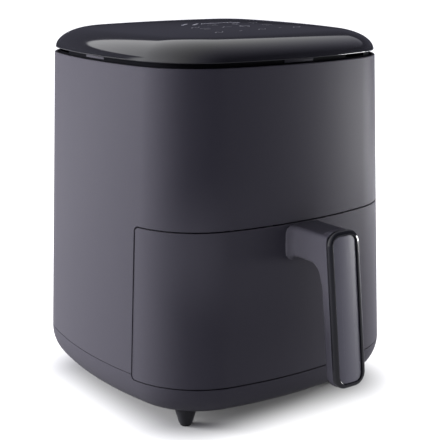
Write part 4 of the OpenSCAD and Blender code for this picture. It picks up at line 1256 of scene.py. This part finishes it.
bumpers = []
for side in (-1, 1):
    for reach, turn in ((GRID_HALF_W + BUMPER_OUT, 0), (GRID_HALF_D + BUMPER_OUT, 90)):
        bumper = plate("bumper", BUMPER[0], BUMPER[1], 0, BUMPER[2], BUMPER_CORNER, 5)
        soften(bumper, BUMPER_ROUND, 3)
        bpy.ops.object.mode_set(mode="EDIT")
        select_where(bumper, "faces", lambda face: face.normal.x > 0.99)
        bpy.ops.mesh.inset(thickness=PANEL_IN)
        push_section((-PANEL_DEEP, 0, 0))
        bpy.ops.object.mode_set(mode="OBJECT")
        x, y = (side * reach, 0) if turn == 0 else (0, side * reach)
        put(bumper, (x, MID_Y + PAN_Y + y, GRID_Z + BUMPER_LIFT), (0, 0, turn + 90 * (1 - side)))
        bumpers.append(bumper)
all_bumpers = joined("soft_bumpers", bumpers)
smooth(all_bumpers, 35)
dress(all_bumpers, "grid", "silicone", ["grid_bumpers"])

# %% [markdown]
# At the back is the exhaust grille. Its flange and its core are spun about the centre of the bowed back,
# trimmed to a rounded outline and cut by seven long slots. Under it sits the gland for the mains cord,
# which is a section spun about a level axis.

# %% Exhaust grille and cord gland
GRILLE_WIDTH = 0.092
GRILLE_HEIGHT = 0.044
GRILLE_PROUD = 0.0012
GRILLE_PLAY = 0.00005
GRILLE_FLANGE = 0.004
GRILLE_CORNER = 0.004
GRILLE_SPARE = 0.002
GRILLE_SPREAD = 1.1
GRILLE_EDGE = 0.00035
CORE_BACK = -0.002
CORE_STEP = 0.0001
TRIM_REACH = (0.2, 0.5)
LOUVRE_STEP = 0.0048
LOUVRE_OPEN = 0.0028
LOUVRE_LONG = 0.081
LOUVRE_ROUND = LOUVRE_OPEN / 2 - 0.00002
LOUVRES_EACH_WAY = 3


def bowed_plate(name, low_r, high_r, half_height, half_width):
    """A plate that follows the bow of the back, trimmed to a rounded outline."""
    reach = FRONT_RADIUS + lean(VENT_Z)
    angle = math.asin(half_width / reach) * GRILLE_SPREAD
    tall = half_height + GRILLE_SPARE
    loop = [(low_r, -tall), (high_r, -tall), (high_r, tall), (low_r, tall), (low_r, -tall)]
    made = pen(name, [((reach + grow) * math.sin(angle), (reach + grow) * math.cos(angle), up)
                      for grow, up in loop])
    turn_section((0, 0, 0), 2 * angle, 24)
    fill_open(made, *[lambda edge, end=end: end * (edge.verts[0].co.x + edge.verts[1].co.x) > 0
                      for end in (-1, 1)])
    trim = plate("trim", 2 * half_width, 2 * half_height, *TRIM_REACH, GRILLE_CORNER, 6)
    put(trim, (0, 0, 0), (-90, 0, 0))
    carve(made, trim, "INTERSECT")
    return made


flange = bowed_plate("exhaust_louvres", GRILLE_PLAY, GRILLE_PROUD, GRILLE_HEIGHT / 2, GRILLE_WIDTH / 2)
core = bowed_plate("core", CORE_BACK, GRILLE_PROUD - CORE_STEP, GRILLE_HEIGHT / 2 - GRILLE_FLANGE,
                   GRILLE_WIDTH / 2 - GRILLE_FLANGE)
for part in (flange, core):
    for k in range(-LOUVRES_EACH_WAY, LOUVRES_EACH_WAY + 1):
        gap = plate("gap", LOUVRE_LONG, LOUVRE_OPEN, *TRIM_REACH, LOUVRE_ROUND, 5)
        put(gap, (0, 0, LOUVRE_STEP * k), (-90, 0, 0))
        carve(part, gap)
    soften(part, GRILLE_EDGE)
joined("exhaust_louvres", [flange, core])
put(flange, (0, -FRONT_RADIUS - lean(VENT_Z), 0))
put(flange, (0, MID_Y + front_y(0, VENT_Z), VENT_Z), (math.degrees(math.atan(DRAFT)), 0, 0))
smooth(flange, 35, weighted=True)
dress(flange, "housing", "inner_plastic", ["exhaust_grille"])

GLAND_Z = 0.062
GLAND_FACE = MID_Y + HALF_DEPTH - 0.00015
GLAND_SECTION = [(0.004, -0.013, 0.0004), (0.007, -0.013, 0.0006), (0.007, 0, 0), (0.010, 0, 0.0002),
                 (0.0098, 0.0010, 0.0004), (0.0086, 0.0030, 0.0008), (0.0046, 0.0030, 0.0008),
                 (0.004, 0.0018, 0.0004)]
NUT_SECTION = [(0.0071, -0.0071), (0.0095, -0.0071), (0.010, -0.0066), (0.010, -0.0042),
               (0.0095, -0.0037), (0.0071, -0.0037), (0.0071, -0.0071)]
gland = pen("cord_gland_body", [(radius, GLAND_FACE + out, GLAND_Z)
                                for radius, out in filleted(GLAND_SECTION, steps=4)])
turn_section((0, MID_Y, GLAND_Z), 4 * QUARTER, 48, (0, 1, 0))
close_up()
nut = turned("gland_nut", NUT_SECTION, 0, 0, 6)
put(nut, (0, GLAND_FACE, GLAND_Z), (-90, 0, 0))
joined("cord_gland_body", [gland, nut])
smooth(gland)
dress(gland, "housing", "inner_plastic", ["cord_gland"])

# %% [markdown]
# Above the pan a guard of round wires keeps food off the heating element. Its rings start as tori and its
# cross wires as cylinders whose ends are bevelled round.

# %% Heater guard
GUARD_Z = 0.181
WIRE = 0.0012
GUARD_RINGS = (0.016, 0.034, 0.052, 0.070, 0.088)
# A spoke has a turn in degrees and half its length.
SPOKES = ((0, 0.1012), (45, 0.092), (90, 0.092), (135, 0.092))
SPOKE_SINK = 0.0002
SPOKE_ROUND = 0.0005

wires = []
for radius in GUARD_RINGS:
    bpy.ops.object.select_all(action="DESELECT")
    bpy.ops.mesh.primitive_torus_add(major_radius=radius, minor_radius=WIRE, major_segments=72,
                                     minor_segments=12)
    wires.append(bpy.context.object)
    put(wires[-1], (0, MID_Y, GUARD_Z + WIRE))
for turn, reach in SPOKES:
    bpy.ops.object.select_all(action="DESELECT")
    bpy.ops.mesh.primitive_cylinder_add(vertices=16, radius=WIRE, depth=2 * reach)
    wires.append(bpy.context.object)
    soften(wires[-1], SPOKE_ROUND, 2, 60)
    put(wires[-1], (0, MID_Y, GUARD_Z - SPOKE_SINK), (0, 90, turn))
guard = joined("guard_wires", wires)
smooth(guard, 50)
dress(guard, "housing", "bright_steel", ["heater_guard"])

# %% [markdown]
# Every part that keeps its shape from the frame is given its finish here, by the material slot that the
# record names for it.

# %% Finishes for the frame's own parts
for row in frame["record"]["subparts"]:
    part = frame["nodes"][row["node"]]
    part.data.materials.clear()
    part.data.materials.append(FINISH[row["material_slot"]])
print("finishes given to", len(frame["nodes"]), "parts of the frame")
